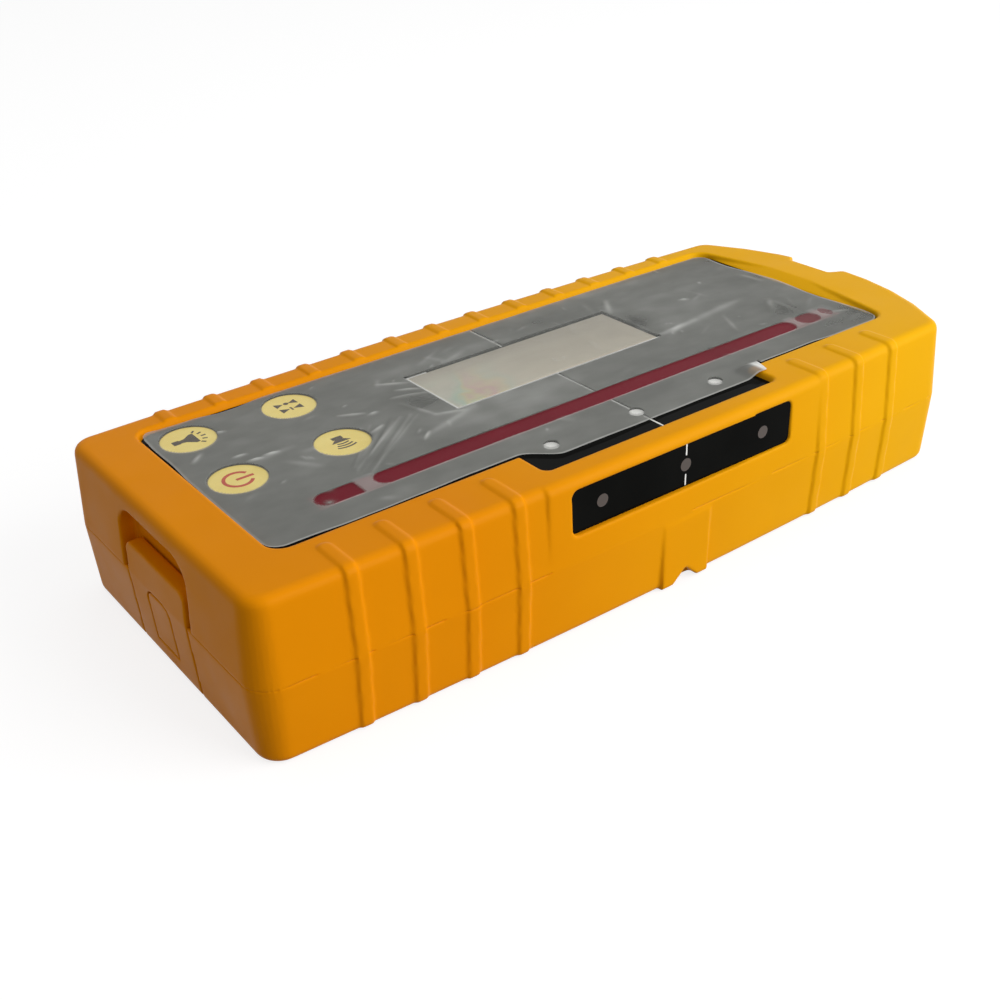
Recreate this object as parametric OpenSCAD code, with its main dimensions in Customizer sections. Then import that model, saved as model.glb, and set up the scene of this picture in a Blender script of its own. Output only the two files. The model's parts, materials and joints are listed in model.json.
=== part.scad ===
// Laser receiver for site levelling: two moulded shells, a recessed face panel with keys and a
// display, a side indicator window, and a battery bay whose door swings out at one end.
// It lies on its back: the face looks up, +X runs along the housing to its bowed end.

/* [Housing] */
// Length of the housing from end to end
body_l = 172; // [168:1:184]
// Width of the housing at the seam, between the ribs
body_w = 72; // [71:0.5:80]
// Height of the housing up to its bezel
body_h = 31; // [30.5:0.5:35]
// Distance of the seam between the shells below the bezel
seam_drop = 16; // [15:0.5:16.5]
// Wall thickness of the shells
wall = 2.8; // [2.4:0.1:3]
// Thickness of the rear shell's floor
floor_t = 2.4; // [2:0.1:2.6]
// Radius of the upright corners
corner_r = 5.2; // [4.4:0.1:6]
// Rounding of the top edge
top_round = 1.8; // [1.2:0.1:2.6]
// Rounding of the bottom edge
bottom_round = 1.6; // [1:0.1:2.2]
// Draft of the front shell, from the seam to its top
front_draft = 0.9; // [0.5:0.1:1.2]
// Draft of the rear shell, from the seam to its bottom
rear_draft = 0.7; // [0.4:0.1:1.2]
// Radius of the bowed end, seen from above
bow_r = 62; // [56:1:90]
// Bow of the long sides at their middle
side_bow = 1.6; // [1.2:0.1:2]
// Narrowing of each side towards the bowed end
end_taper = 0.8; // [0.4:0.1:1.2]

/* [Ribs and marks] */
// Number of grip ribs along the far side
rib_count = 13; // [9:1:14]
// Distance of the first rib from the left end
rib_first = 19.4; // [16:0.2:22]
// Distance of the last rib from the bowed end
rib_last = 27.8; // [24:0.2:32]
// Width of a rib
rib_w = 2.1; // [1.6:0.1:3]
// Height of a rib on the sides
rib_h = 0.45; // [0.3:0.05:0.8]
// Height of a rib on the bezel
rib_rise = 0.3; // [0.2:0.1:0.6]
// Length of a rib over the bezel
rib_reach = 8; // [6:0.5:9]
// Shift of the near side's outermost ribs towards the ends
rib_spread = 0.9; // [0:0.1:1.2]
// Place of the reference mark along the housing
ref_x = 1.8; // [0:0.1:5]
// Reach of the raised land round the side window, left of the reference mark
land_left = 31.8; // [30:0.2:33]
// Reach of that land to the right of the mark
land_right = 36.2; // [35:0.2:36.6]
// Half width of the block that holds the reference notch
mark_half = 5.7; // [4:0.1:7]
// Distance of that block's top below the seam
mark_drop = 0.4; // [0.2:0.1:4]
// Distance that the block stands out past the seam's edge
mark_proud = 0.1; // [0.05:0.05:0.4]
// Height of the reference notch
mark_notch_h = 3.3; // [1.5:0.1:4]
// Half width of the reference notch at its mouth
mark_notch_half = 3.5; // [2:0.1:4]
// Middle of the notch in the bowed end
end_notch_y = 6; // [-2:0.5:7]
// Depth of that notch
end_notch_d = 5.2; // [4:0.1:5.6]
// Width at the bottom of that notch
end_notch_w = 11; // [8:0.5:12]
// Widening of that notch on each flank
end_notch_flare = 3; // [2:0.5:5]

/* [Face] */
// Distance of the face panel from the left end
face_left = 11.8; // [10.5:0.1:12]
// Distance of the face panel from the bowed end
face_right = 16; // [15:0.1:17]
// Distance of the face panel from the near side
face_near = 12.3; // [11.6:0.1:13]
// Distance of the face panel from the far side
face_far = 6.8; // [6.4:0.1:7.2]
// Corner radius of the face panel
face_r = 3.4; // [2:0.2:4]
// Half length of the panel's tab towards the side window
tab_half = 27.8; // [26:0.2:29]
// Distance of that tab from the near side
tab_near = 5.1; // [4.6:0.1:6]
// Corner radius of that tab
tab_r = 1.6; // [1.2:0.1:2.4]
// Depth of the panel below the bezel
panel_recess = 1.1; // [0.8:0.1:1.4]
// Thickness of the panel
panel_t = 1.6; // [1.2:0.1:1.8]
// Width of the ledge that carries the panel
ledge_w = 0.9; // [0.6:0.1:1]
// Thickness of that ledge
ledge_t = 1.4; // [1:0.1:1.8]
// Bevel of the bezel round the panel
bezel_bevel = 0.9; // [0.4:0.1:1.2]
// Reach of the bezel's bevel at the bowed end
bezel_bow = 4.6; // [2:0.2:5]
// Thickness of the protective film
film_t = 0.12; // [0.08:0.01:0.16]
// Height of the film above the panel
film_gap = 0.24; // [0.2:0.02:0.4]
// Margin between the film and the panel's edge
film_margin = 0.3; // [0.2:0.1:1]
// Margin between the film and the panel's near edge
film_near = 0.5; // [0.3:0.1:1.4]
// Half length of the film's lobe over the panel's tab
film_lobe = 25.5; // [24:0.1:26]
// Distance of that lobe from the tab's near edge
film_short = 4.6; // [3:0.1:5]
// Length of the display window
lcd_l = 50.4; // [44:0.2:52]
// Width of the display window
lcd_w = 17.2; // [14:0.2:17.4]
// Distance of the display window's middle from the panel's far edge
lcd_far = 20.2; // [20:0.1:21]
// Distance of the display window's middle from the reference mark
lcd_shift = 1.7; // [0:0.1:2]
// Distance of the red receiving window from the panel's left edge
filter_left = 13; // [12:0.1:16]
// Distance of the red receiving window from the panel's right edge
filter_right = 4.3; // [4:0.1:8]
// Width of the red receiving window
filter_w = 4.6; // [4:0.1:5]
// Shift of the red receiving window from halfway between the display and the panel's near edge
filter_shift = 1.65; // [1.4:0.05:1.8]
// Distance of the outer face marks from the reference mark
dot_pitch = 20.1; // [18:0.1:22]
// Shift of the face marks from halfway between the red window and the tab's near edge
dot_shift = 0.35; // [0:0.05:1.2]
// Radius of a face mark
dot_r = 1.4; // [1:0.1:1.6]

/* [Keys] */
// Radius of a key
key_r = 5.4; // [5:0.1:5.6]
// Distance of the left keys from the panel's left edge
key_left = 7.3; // [7:0.1:7.6]
// Distance between the left and the right keys
key_pitch_x = 21; // [19:0.1:22]
// Distance of the far keys from the panel's far edge
key_far = 7.2; // [7:0.1:7.6]
// Distance between the near and the far keys
key_pitch_y = 19.6; // [18:0.1:19.8]
// Height of a key above the panel
key_proud = 0.15; // [0.1:0.01:0.18]
// Travel of a key
key_travel = 0.4; // [0.2:0.05:0.45]
// Clearance round a key
key_gap = 0.2; // [0.15:0.05:0.3]
// Width of the lip that keeps a key under the panel
key_lip = 0.6; // [0.5:0.05:0.65]
// Thickness of that lip
key_lip_t = 0.8; // [0.6:0.1:1]

/* [Side window] */
// Half length of the side window
side_half = 26.8; // [26:0.2:28.5]
// Top of the side window below the bezel
side_drop = 2.2; // [2:0.1:3]
// Height of the side window
side_h = 8.8; // [8:0.1:9.5]
// Depth of the window's face behind the seam's edge
side_inset = 1.1; // [0.8:0.1:1.3]
// Corner radius of the side window
side_r = 1.3; // [0.5:0.1:2]
// Thickness of the window panel
side_t = 1.5; // [1.2:0.1:1.8]
// Width of the ledge behind the window panel
side_ledge = 1.5; // [1:0.1:2]
// Distance of the outer side marks from the reference mark
side_dot_pitch = 19.6; // [18:0.1:21]
// Radius of a side mark
side_dot_r = 1.25; // [1:0.05:1.8]

/* [Boards] */
// Distance of the main board from the left end
board_left = 6.4; // [6:0.1:7]
// Distance of the main board from the bowed end
board_right = 11; // [10.5:0.1:12]
// Distance of the main board from the sides
board_side = 10; // [10:0.1:11]
// Thickness of the boards
board_t = 1.6; // [1.2:0.1:1.6]
// Room between the main board and the panel's ledge
board_drop = 2.5; // [2.3:0.1:2.6]
// Distance of the board screws from the board's sides
board_screw_side = 4; // [3.5:0.1:5]
// Distance of the board screws from the board's ends
board_screw_in = 2.8; // [2.6:0.1:3.2]
// Radius of the board screws
board_screw_r = 1.1; // [0.9:0.05:1.2]
// Number of photodiodes behind the red window
diode_count = 12; // [6:1:16]
// Radius of the buzzer
buzzer_r = 6; // [4.5:0.5:7]
// Height of the buzzer
buzzer_h = 6.6; // [4:0.2:8]
// Distance of the buzzer from the bowed end
buzzer_right = 41; // [36:1:44]
// Place of the buzzer across the housing
buzzer_y = 8; // [5:1:12]

/* [Battery bay] */
// Radius of a battery cell
cell_r = 7.25; // [7:0.05:7.25]
// Length of a battery cell
cell_l = 50.5; // [49:0.1:50.5]
// Clearance round the cells
cell_gap = 0.35; // [0.25:0.05:0.5]
// Thickness of the bay's walls
bay_t = 1.5; // [1.2:0.1:1.6]
// Thickness of the bay's roof
bay_roof_t = 0.7; // [0.6:0.1:1.4]
// Thickness of the contact plates
contact_t = 0.4; // [0.3:0.05:0.5]
// Height of the contact springs
spring_h = 3; // [2.5:0.1:3.4]
// Wire diameter of the contact springs
spring_wire = 0.7; // [0.5:0.05:0.7]

/* [Battery door] */
// Half width of the door on the back
door_half = 16; // [15.8:0.1:16.4]
// Gap round the door
door_gap = 0.3; // [0.25:0.05:0.4]
// Half width of the door's end flap
flap_half = 11.5; // [10.5:0.1:12]
// Corner radius of the flap's top
flap_r = 1.8; // [1.2:0.1:4]
// Distance of the flap's top below the bezel
flap_drop = 9.8; // [8.4:0.1:10.4]
// Thickness of the flap at the seam
flap_t = 3.2; // [3:0.1:3.3]
// Half width of the finger recess
recess_half = 13.3; // [12.6:0.1:14]
// Corner radius of the finger recess
recess_r = 5; // [3:0.1:6]
// Distance of the finger recess below the bezel
recess_drop = 3.4; // [3.4:0.1:4.4]
// Depth of the finger recess
recess_d = 3.6; // [3.5:0.1:3.7]
// Half width of the latch tab
latch_half = 4.2; // [3.2:0.1:5]
// Distance of the latch tab's top below the seam
latch_drop = 0.4; // [0.3:0.1:1.5]
// Height of the latch tab's pivot
latch_z = 5.2; // [4.6:0.1:6]
// Radius of the door's hinge pin
hinge_r = 0.6; // [0.5:0.05:0.65]
// Radius of the latch's pivot pin
latch_pin_r = 0.5; // [0.4:0.05:0.5]

/* [Fastenings] */
// Radius of the housing screws
screw_r = 1.5; // [1.2:0.1:1.6]
// Place of the housing screws from the ends
screw_in = 9.5; // [9:0.5:11]
// Place of the housing screws from the sides
screw_side = 5.7; // [5.5:0.1:6]
// Radius of the clamp thread in the back
clamp_r = 3.175; // [2.5:0.005:3.175]
// Depth of the clamp thread
clamp_depth = 10; // [7:0.5:10.5]
// Outer radius of the clamp's insert
insert_r = 5.5; // [4.8:0.1:6]
// Distance of the locating sockets from the clamp thread
socket_pitch = 16; // [14:0.5:17]
// Radius of a locating socket
socket_r = 2.1; // [1.5:0.1:2.5]
// Depth of a locating socket
socket_depth = 4; // [3:0.5:5]

/* [Hidden] */
$fn = 48;

// Facets of the rounded outer forms
form_fn = 32;
round_steps = 4;
bow_steps = 8;
side_steps = 8;
// Thickness of the slices that a smooth form is stretched over
slice = 0.01;
// Overshoot of cuts
over = 1;
// Clearance of pieces seated in pockets
seat = 0.05;
// Clearance of a door or latch on its pin
running = 0.05;

half_l = body_l / 2;
half_w = body_w / 2;
seam_z = body_h - seam_drop;
mark_top = seam_z - mark_drop;
rib_first_x = -half_l + rib_first;
rib_pitch = (body_l - rib_first - rib_last) / (rib_count - 1);

// Ends of the long sides, and half the width at a place along them
corner_x = -half_l + corner_r;
tip_y = half_w - corner_r - end_taper;
tip_x = bow_x(tip_y);
function bow_x(y) = half_l - bow_r + sqrt(pow(bow_r - corner_r, 2) - y * y);
function side_reach(x) =
    let (t = (x - corner_x) / (tip_x - corner_x))
        half_w - end_taper * t + 4 * side_bow * t * (1 - t);
ref_y = side_reach(ref_x);
outer_y = half_w + side_bow + over;

// Edges of the face panel and of its tab
face_x0 = -half_l + face_left;
face_x1 = half_l - face_right;
face_y0 = -half_w + face_near;
face_y1 = half_w - face_far;
tab_y = -half_w + tab_near;

// Heights of what hangs below the bezel
panel_top = body_h - panel_recess;
panel_z = panel_top - panel_t;
roof_z = panel_z - ledge_t;
board_top = roof_z - board_drop;
board_z = board_top - board_t;

// Keys
key_x0 = face_x0 + key_left;
key_x1 = key_x0 + key_pitch_x;
key_y1 = face_y1 - key_far;
key_y0 = key_y1 - key_pitch_y;
key_spots = [[key_x0, key_y1], [key_x1, key_y1], [key_x0, key_y0], [key_x1, key_y0]];
key_foot = panel_z - seat - key_lip_t;

// Middle of the display window
lcd_x = ref_x + lcd_shift;
lcd_y = face_y1 - lcd_far;

// Red window and the diodes behind it
filter_x0 = face_x0 + filter_left;
filter_x1 = face_x1 - filter_right;
filter_y = (lcd_y - lcd_w / 2 + face_y0) / 2 - filter_shift;
baffle_t = 1;
diode_pitch = (filter_x1 - filter_x0) / diode_count;
diode_l = 4.4;
diode_w = 3.2;
filter_lap = 0.4;

// Lamps behind the marks
chip_h = 1.2;
lamp_l = 3;
lamp_w = 2.4;
lamp_gap = 0.1;

// Marks on the face and on the side
dot_y = (filter_y - filter_w / 2 + tab_y) / 2 + dot_shift;
face_dots = [ref_x - dot_pitch, ref_x, ref_x + dot_pitch];
side_dots = [ref_x - side_dot_pitch, ref_x, ref_x + side_dot_pitch];
pipe_flange = 0.5;
pipe_flange_t = 0.8;

// Side window
side_face_y = ref_y - side_inset;
side_top = body_h - side_drop;
side_mid = side_top - side_h / 2;
side_back_y = side_face_y - side_t;
side_rear_y = side_back_y - side_ledge;
side_room = 2.1;
side_board_y = side_rear_y - side_room;
side_board_in = 3.4;
side_board_half = side_half - side_board_in;
side_board_skirt = 1;
side_post = 2;
side_frame = 1.6;
side_foot = side_top - side_h - side_frame;
board_clear = 0.4;
header_x = ref_x + dot_pitch / 2;
header_half = 5;
header_lap = 1.6;

// Finger recess, flap and latch
recess_top = body_h - recess_drop;
recess_rim = 1.5;
recess_wall = 1.2;
flap_top = body_h - flap_drop;
latch_top = seam_z - latch_drop;

// Battery bay, from the end flap inwards
flap_in_x = -half_l + flap_t;
bay_room = 1.8;
bay_x0 = flap_in_x + bay_room + bay_t;
cell_play = 0.2;
bay_l = cell_l + spring_h + 2 * contact_t + cell_play;
bay_x1 = bay_x0 + bay_l;
cell_y = cell_r + cell_gap;
bay_half = 2 * cell_r + 2 * cell_gap;
door_rise = 0.6;
cell_z = floor_t + cell_gap + cell_r;
bay_roof = cell_z + cell_r + cell_gap;
cell_x0 = bay_x0 + contact_t + cell_play / 2;
nub_r = 2.7;
nub_h = 1;
contact_half = 5;
lead_w = 2;
web_t = 1.2;
web_sink = 0.8;
door_seal_lap = 0.4;
door_seal_in = 1.2;
door_seal_play = 0.1;
spring_turns = 3;
spring_ring = 12;
spring_sides = 6;
spring_r0 = 4.6;
spring_r1 = 2;
spring_play = 0.1;

// Door hinge: a barrel inside the thickness of the door's own plate
barrel_r = floor_t / 2;
hinge_x = bay_x1 + bay_t + barrel_r + door_gap;
hinge_z = barrel_r;
hinge_reach = 3.4;
latch_in = 1.1;
latch_x = flap_in_x - latch_in;
latch_foot = 0.8;
latch_gap = 0.3;
latch_angle_room = 0.1;
latch_pin_reach = 2.2;

// Screws and bosses
boss_t = 1.7;
boss_sink = 0.4;
head_r = 2.9;
head_h = 2.2;
head_z = 4;
screw_bow = 5;
screw_cover = 3;
screw_spots = [
    for (x = [-half_l + screw_in, half_l - screw_in - screw_bow])
        for (s = [-1, 1])
            [x, s * (half_w - screw_side)]
];
screw_top = roof_z - screw_cover;
board_x0 = -half_l + board_left;
board_x1 = half_l - board_right;
board_half = half_w - board_side;
board_screw_y = board_half - board_screw_side;
board_spots = [
    for (x = [board_x0 + board_screw_in, board_x1 - board_screw_in])
        for (s = [-1, 1])
            [x, s * board_screw_y]
];
board_head_h = 1.4;
board_screw_bite = 2;
board_hole_gap = 0.2;
clamp_boss = 2;
seal_w = 1.2;
seal_d = 1;
seal_in = (wall - seal_w) / 2;

// Key switches
switch_half = 3;
switch_h = 1.6;
plunger_r = 1.6;
switch_play = 0.1;

// Display and its holder
lcd_lip = 0.9;
lcd_glass = 2;
lcd_edge = 2;
lcd_frame = 1.4;
lcd_rim = 0.6;
strip_w = 1.6;
strip_out = 0.4;
glass_z = panel_z - lcd_lip - lcd_glass;

// Buzzer and the slots that let its sound out
buzzer_x = half_l - buzzer_right;
buzzer_hole_r = 1.2;
buzzer_hole_d = 1.4;
membrane_r = 8;
membrane_t = 0.3;
slot_count = 5;
slot_pitch = 2.4;
slot_w = 1.2;
slot_half = 4.5;

// Parts under the main board
chip_t = 1.4;
processor_l = 12;
processor_y = 8;
amp_count = 4;
amp_pitch = 14;
amp_l = 5;
amp_w = 4;
shield_in = 6;
shield_x = ref_x + shield_in;
shield_l = 56;
shield_w = 9;
shield_h = 3;
shield_t = 0.4;
crystal_in = 14;
crystal_x = ref_x + crystal_in;
crystal_y = 12;
crystal_l = 8;
crystal_w = 3.5;
crystal_h = 2.6;
capacitor_xs = [-20, -8];
capacitor_in = 4.6;
capacitor_y = board_half - capacitor_in;
capacitor_r = 2.5;
capacitor_h = 6;

yellow = "#f0a51c";
black = "#15171a";
steel = "#c4c6c8";
green = "#1f6b3c";

// Centres of the corner rounding: along both bowed sides, then round the bowed end
corners = concat(
    [for (s = [1, -1]) for (i = [0 : side_steps - 1])
        let (x = corner_x + (tip_x - corner_x) * i / side_steps)
            [x, s * (side_reach(x) - corner_r)]],
    [for (i = [0 : bow_steps])
        let (y = tip_y * (2 * i / bow_steps - 1))
            [bow_x(y), y]]
);

// Box given by its lowest and highest corners
module block(low, high) {
    translate(low)
        cube(high - low);
}

// Rounded rectangle from its lowest and highest corners
module rounded_area(low, high, r) {
    for (x = [low.x + r, high.x - r])
        for (y = [low.y + r, high.y - r])
            translate([x, y])
                circle(r = r);
    translate([low.x + r, low.y])
        square([high.x - low.x - 2 * r, high.y - low.y]);
    translate([low.x, low.y + r])
        square([high.x - low.x, high.y - low.y - 2 * r]);
}

// Round bar along Y, centred on the housing's middle plane
module cross_bar(r, half, x, z) {
    translate([x, half, z])
        rotate([90, 0, 0])
            cylinder(r = r, h = 2 * half);
}

// Prism along X from a shape drawn in the YZ plane
module along_x(x0, x1) {
    translate([x0, 0, 0])
        rotate([90, 0, 90])
            linear_extrude(x1 - x0)
                children();
}

// Prism along Y from a shape drawn in the XZ plane
module along_y(y0, y1) {
    translate([0, y1, 0])
        rotate([90, 0, 0])
            linear_extrude(y1 - y0)
                children();
}

// Slices that one corner of the outer form is stretched over
module corner_slices(grow, rise, draft) {
    top_r = corner_r + grow - draft;
    foot_r = corner_r + grow - rear_draft;
    for (i = [0 : round_steps]) {
        a = 90 * i / round_steps;
        translate([0, 0, body_h + rise - top_round * (1 - sin(a)) - slice])
            cylinder(r = top_r - top_round * (1 - cos(a)), h = slice, $fn = form_fn);
        translate([0, 0, bottom_round * (1 - sin(a))])
            cylinder(r = foot_r - bottom_round * (1 - cos(a)), h = slice, $fn = form_fn);
    }
    translate([0, 0, seam_z - slice / 2])
        cylinder(r = corner_r + grow, h = slice, $fn = form_fn);
}

// Outer form of the closed housing, without ribs
module outer_form(grow = 0, rise = 0, draft = front_draft) {
    hull()
        for (p = corners)
            translate([p.x, p.y, 0])
                corner_slices(grow, rise, draft);
}

// Notch in the bowed end, seen from above
module end_notch_area(grow = 0) {
    w = end_notch_w / 2 + grow;
    x = half_l - end_notch_d - grow;
    mouth = half_l + over + grow;
    flare = end_notch_flare * (mouth - x) / end_notch_d;
    translate([0, end_notch_y])
        polygon([[x, -w], [mouth, -w - flare], [mouth, w + flare], [x, w]]);
}

// Plan of the housing at the seam, drawn in by a margin
module plan_area(inset) {
    difference() {
        hull()
            for (p = corners)
                translate(p)
                    circle(r = corner_r - inset, $fn = form_fn);
        end_notch_area(inset);
    }
}

// One rib: up the side and over the bezel, with a round end
module rib_bar(x, side) {
    y0 = half_w - rib_reach;
    translate([x, side * y0, bottom_round / 4])
        cylinder(d = rib_w, h = body_h);
    translate([x - rib_w / 2, side > 0 ? y0 : -outer_y, bottom_round / 4])
        cube([rib_w, outer_y - y0, body_h]);
}

// Ribs along both sides; the near side's leave out the land round the side window
module rib_bars() {
    for (i = [0 : rib_count - 1]) {
        x = rib_first_x + i * rib_pitch;
        near_x = x + rib_spread * (2 * i / (rib_count - 1) - 1);
        rib_bar(x, 1);
        if (near_x < ref_x - land_left - rib_w || near_x > ref_x + land_right - rib_w)
            rib_bar(near_x, -1);
    }
}

// Land round the side window: level with the rear shell at the seam and with the ribs at the top
module side_land() {
    intersection() {
        outer_form(draft = front_draft - rib_h);
        block([ref_x - land_left, -outer_y, seam_z],
              [ref_x + land_right, tab_y + over, body_h + over]);
    }
}

// Upright block on the near side that carries the reference notch
module mark_block() {
    round = bottom_round / 2;
    along_x(ref_x - mark_half, ref_x + mark_half)
        rounded_area([-ref_y - mark_proud, round / 4], [-ref_y + wall, mark_top], round);
}

// Housing with its ribs, before it is split and hollowed
module housing_form() {
    difference() {
        union() {
            outer_form();
            mark_block();
            side_land();
            intersection() {
                outer_form(rib_h, rib_rise);
                rib_bars();
            }
        }
        translate([0, 0, -over])
            linear_extrude(body_h + 3 * over)
                end_notch_area();
    }
}

// Outline of the face panel, grown by a margin
module face_area(grow = 0) {
    rounded_area([face_x0 - grow, face_y0 - grow], [face_x1 + grow, face_y1 + grow], face_r + grow);
    rounded_area([ref_x - tab_half - grow, tab_y - grow], [ref_x + tab_half + grow, face_y0 + face_r],
                 tab_r + grow);
}

// Sloped bezel round the panel, widest at the bowed end
module bezel_cut() {
    top = body_h + rib_rise + slice;
    wide = bezel_bevel;
    hull() {
        translate([0, 0, panel_top])
            linear_extrude(slice)
                rounded_area([face_x0, face_y0], [face_x1, face_y1], face_r, $fn = form_fn);
        translate([0, 0, top])
            linear_extrude(slice) {
                rounded_area([face_x0 - wide / 2, face_y0 - wide / 2], [face_x1, face_y1 + wide],
                             face_r, $fn = form_fn);
                translate([face_x1 + bezel_bow - face_r, end_notch_y])
                    circle(r = face_r, $fn = form_fn);
            }
    }
    hull() {
        translate([ref_x, 0, panel_top])
            linear_extrude(slice)
                rounded_area([-tab_half, tab_y], [tab_half, face_y0 + face_r], tab_r, $fn = form_fn);
        translate([ref_x, 0, top])
            linear_extrude(slice)
                rounded_area([-tab_half - wide / 2, tab_y - wide / 2],
                             [tab_half + wide / 2, face_y0 + face_r], tab_r, $fn = form_fn);
    }
}

// Upright arch with round shoulders, drawn in the YZ plane
module arch_area(half, foot, top, r) {
    for (s = [-1, 1])
        translate([s * (half - r), top - r])
            circle(r = r);
    translate([-half, foot])
        square([2 * half, top - r - foot]);
    translate([-half + r, foot])
        square([2 * (half - r), top - foot]);
}

// Finger recess above the door's flap
module recess_area(grow = 0) {
    arch_area(recess_half + grow, seam_z - over, recess_top + grow, recess_r + grow);
}

// End flap of the door
module flap_area(grow = 0) {
    arch_area(flap_half + grow, -over, flap_top + grow, flap_r + grow);
}

// Latch tab in the flap
module latch_area(grow = 0) {
    arch_area(latch_half + grow, latch_z - latch_foot - grow, latch_top + grow, latch_half / 2 + grow);
}

// Reference notch, drawn in the XZ plane
module mark_notch_area() {
    slope = mark_notch_half / mark_notch_h;
    w = mark_notch_half + slope * over;
    translate([ref_x, 0])
        polygon([[-w, -over], [w, -over], [0, mark_notch_h]]);
}

// Side window, drawn in the XZ plane and drawn in by a margin
module side_area(inset = 0) {
    r = max(side_r - inset, seat);
    rounded_area([ref_x - side_half + inset, side_top - side_h + inset],
                 [ref_x + side_half - inset, side_top - inset], r);
}

module front_bosses() {
    for (p = screw_spots)
        translate([p.x, p.y, seam_z])
            cylinder(r = screw_r + boss_t, h = roof_z - seam_z + over);
    for (p = board_spots)
        translate([p.x, p.y, board_top])
            cylinder(r = board_screw_r + boss_t, h = roof_z - board_top + over);
    // Wall behind the side window, with the posts that hold its board
    block([ref_x - side_half - side_frame, -ref_y + wall / 2, side_foot],
          [ref_x + side_half + side_frame, -side_rear_y, roof_z + over]);
    for (s = [-1, 1]) {
        post_x = ref_x + s * (side_board_half + seat + side_post / 2);
        translate([post_x - side_post / 2, -side_rear_y - slice, side_foot])
            cube([side_post, side_room + board_t, roof_z + over - side_foot]);
    }
    // Wall behind the finger recess
    along_x(-half_l + recess_d - over, -half_l + recess_d + recess_wall)
        intersection() {
            recess_area(recess_rim);
            translate([-body_w / 2, seam_z])
                square([body_w, roof_z + over - seam_z]);
        }
}

module front_shell() {
    color(yellow)
        difference() {
            union() {
                difference() {
                    intersection() {
                        housing_form();
                        block([-body_l, -body_w, seam_z], [body_l, body_w, 2 * body_h]);
                    }
                    translate([0, 0, seam_z - over])
                        linear_extrude(roof_z - seam_z + over)
                            plan_area(wall);
                }
                front_bosses();
            }
            bezel_cut();
            translate([0, 0, panel_z])
                linear_extrude(panel_t + slice)
                    face_area();
            translate([0, 0, roof_z - over])
                linear_extrude(ledge_t + 2 * over)
                    face_area(-ledge_w);
            // Side window: an outer pocket and a smaller way through
            along_y(-body_w, -side_back_y)
                side_area();
            along_y(-body_w, -side_rear_y + over)
                side_area(side_ledge);
            along_x(-half_l - over, -half_l + recess_d)
                recess_area();
            for (p = screw_spots)
                translate([p.x, p.y, seam_z - over])
                    cylinder(r = screw_r + seat, h = screw_top - seam_z + 2 * over);
            for (p = board_spots)
                translate([p.x, p.y, board_top - over])
                    cylinder(r = board_screw_r + seat, h = over + board_drop);
        }
}

module rear_bosses() {
    intersection() {
        for (p = screw_spots)
            translate([p.x, p.y, 0])
                cylinder(r = head_r + boss_t, h = seam_z);
        translate([0, 0, floor_t / 2])
            linear_extrude(seam_z)
                plan_area(wall - boss_sink);
    }
    translate([ref_x, 0, floor_t / 2])
        cylinder(r = insert_r + clamp_boss, h = clamp_depth + clamp_boss - floor_t / 2);
    for (s = [-1, 1])
        translate([ref_x + s * socket_pitch, 0, floor_t / 2])
            cylinder(r = socket_r + clamp_boss, h = socket_depth + clamp_boss - floor_t / 2);
    // Pad inside the wall behind the reference notch
    block([ref_x - mark_notch_half - wall, -ref_y + wall - over, floor_t / 2],
          [ref_x + mark_notch_half + wall, -ref_y + 2 * wall - over, floor_t + mark_notch_h]);
    // Battery bay and the webs that join it to the end wall
    block([bay_x0 - bay_t, -bay_half - bay_t, floor_t / 2],
          [bay_x1 + bay_t, bay_half + bay_t, bay_roof + bay_roof_t]);
    for (s = [-1, 1])
        translate([flap_in_x - web_sink, s * (flap_half + 2 * web_t) - web_t / 2, floor_t / 2])
            cube([web_sink + bay_room + bay_t / 2, web_t, seam_z - floor_t / 2]);
}

module rear_shell() {
    color(yellow)
        difference() {
            union() {
                difference() {
                    intersection() {
                        housing_form();
                        block([-body_l, -body_w, -over], [body_l, body_w, seam_z]);
                    }
                    translate([0, 0, floor_t])
                        linear_extrude(seam_z)
                            plan_area(wall);
                }
                rear_bosses();
            }
            // Groove for the seal between the shells
            translate([0, 0, seam_z - seal_d])
                linear_extrude(seal_d + over)
                    difference() {
                        plan_area(seal_in);
                        plan_area(seal_in + seal_w);
                    }
            // Bay for the cells, and slots for the leads in its roof
            block([bay_x0, -bay_half, -over], [bay_x1, bay_half, bay_roof]);
            for (s = [-1, 1])
                block([bay_x1 - contact_t - seat, s * cell_y - lead_w / 2 - seat, bay_roof - over],
                      [bay_x1 + slice, s * cell_y + lead_w / 2 + seat, bay_roof + bay_roof_t + over]);
            // Room for the door and its flap
            block([flap_in_x, -door_half - door_gap, -over],
                  [hinge_x + barrel_r + door_gap, door_half + door_gap, floor_t + door_rise]);
            along_x(-half_l - over, flap_in_x + door_gap)
                flap_area(door_gap);
            cross_bar(hinge_r + running / 2, door_half + hinge_reach + seat, hinge_x, hinge_z);
            along_y(-ref_y - 2 * over, -ref_y + wall - over / 2)
                mark_notch_area();
            for (p = screw_spots) {
                translate([p.x, p.y, -over])
                    cylinder(r = head_r + seat, h = head_z + head_h + over);
                translate([p.x, p.y, 0])
                    cylinder(r = screw_r + seat, h = seam_z + over);
            }
            translate([ref_x, 0, -over])
                cylinder(r = insert_r + seat, h = clamp_depth + over);
            for (s = [-1, 1])
                translate([ref_x + s * socket_pitch, 0, -over])
                    cylinder(r = socket_r, h = socket_depth + over);
            for (i = [0 : slot_count - 1]) {
                x = buzzer_x + (i - (slot_count - 1) / 2) * slot_pitch;
                block([x - slot_w / 2, buzzer_y - slot_half, -over],
                      [x + slot_w / 2, buzzer_y + slot_half, floor_t + over]);
            }
        }
}

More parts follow.
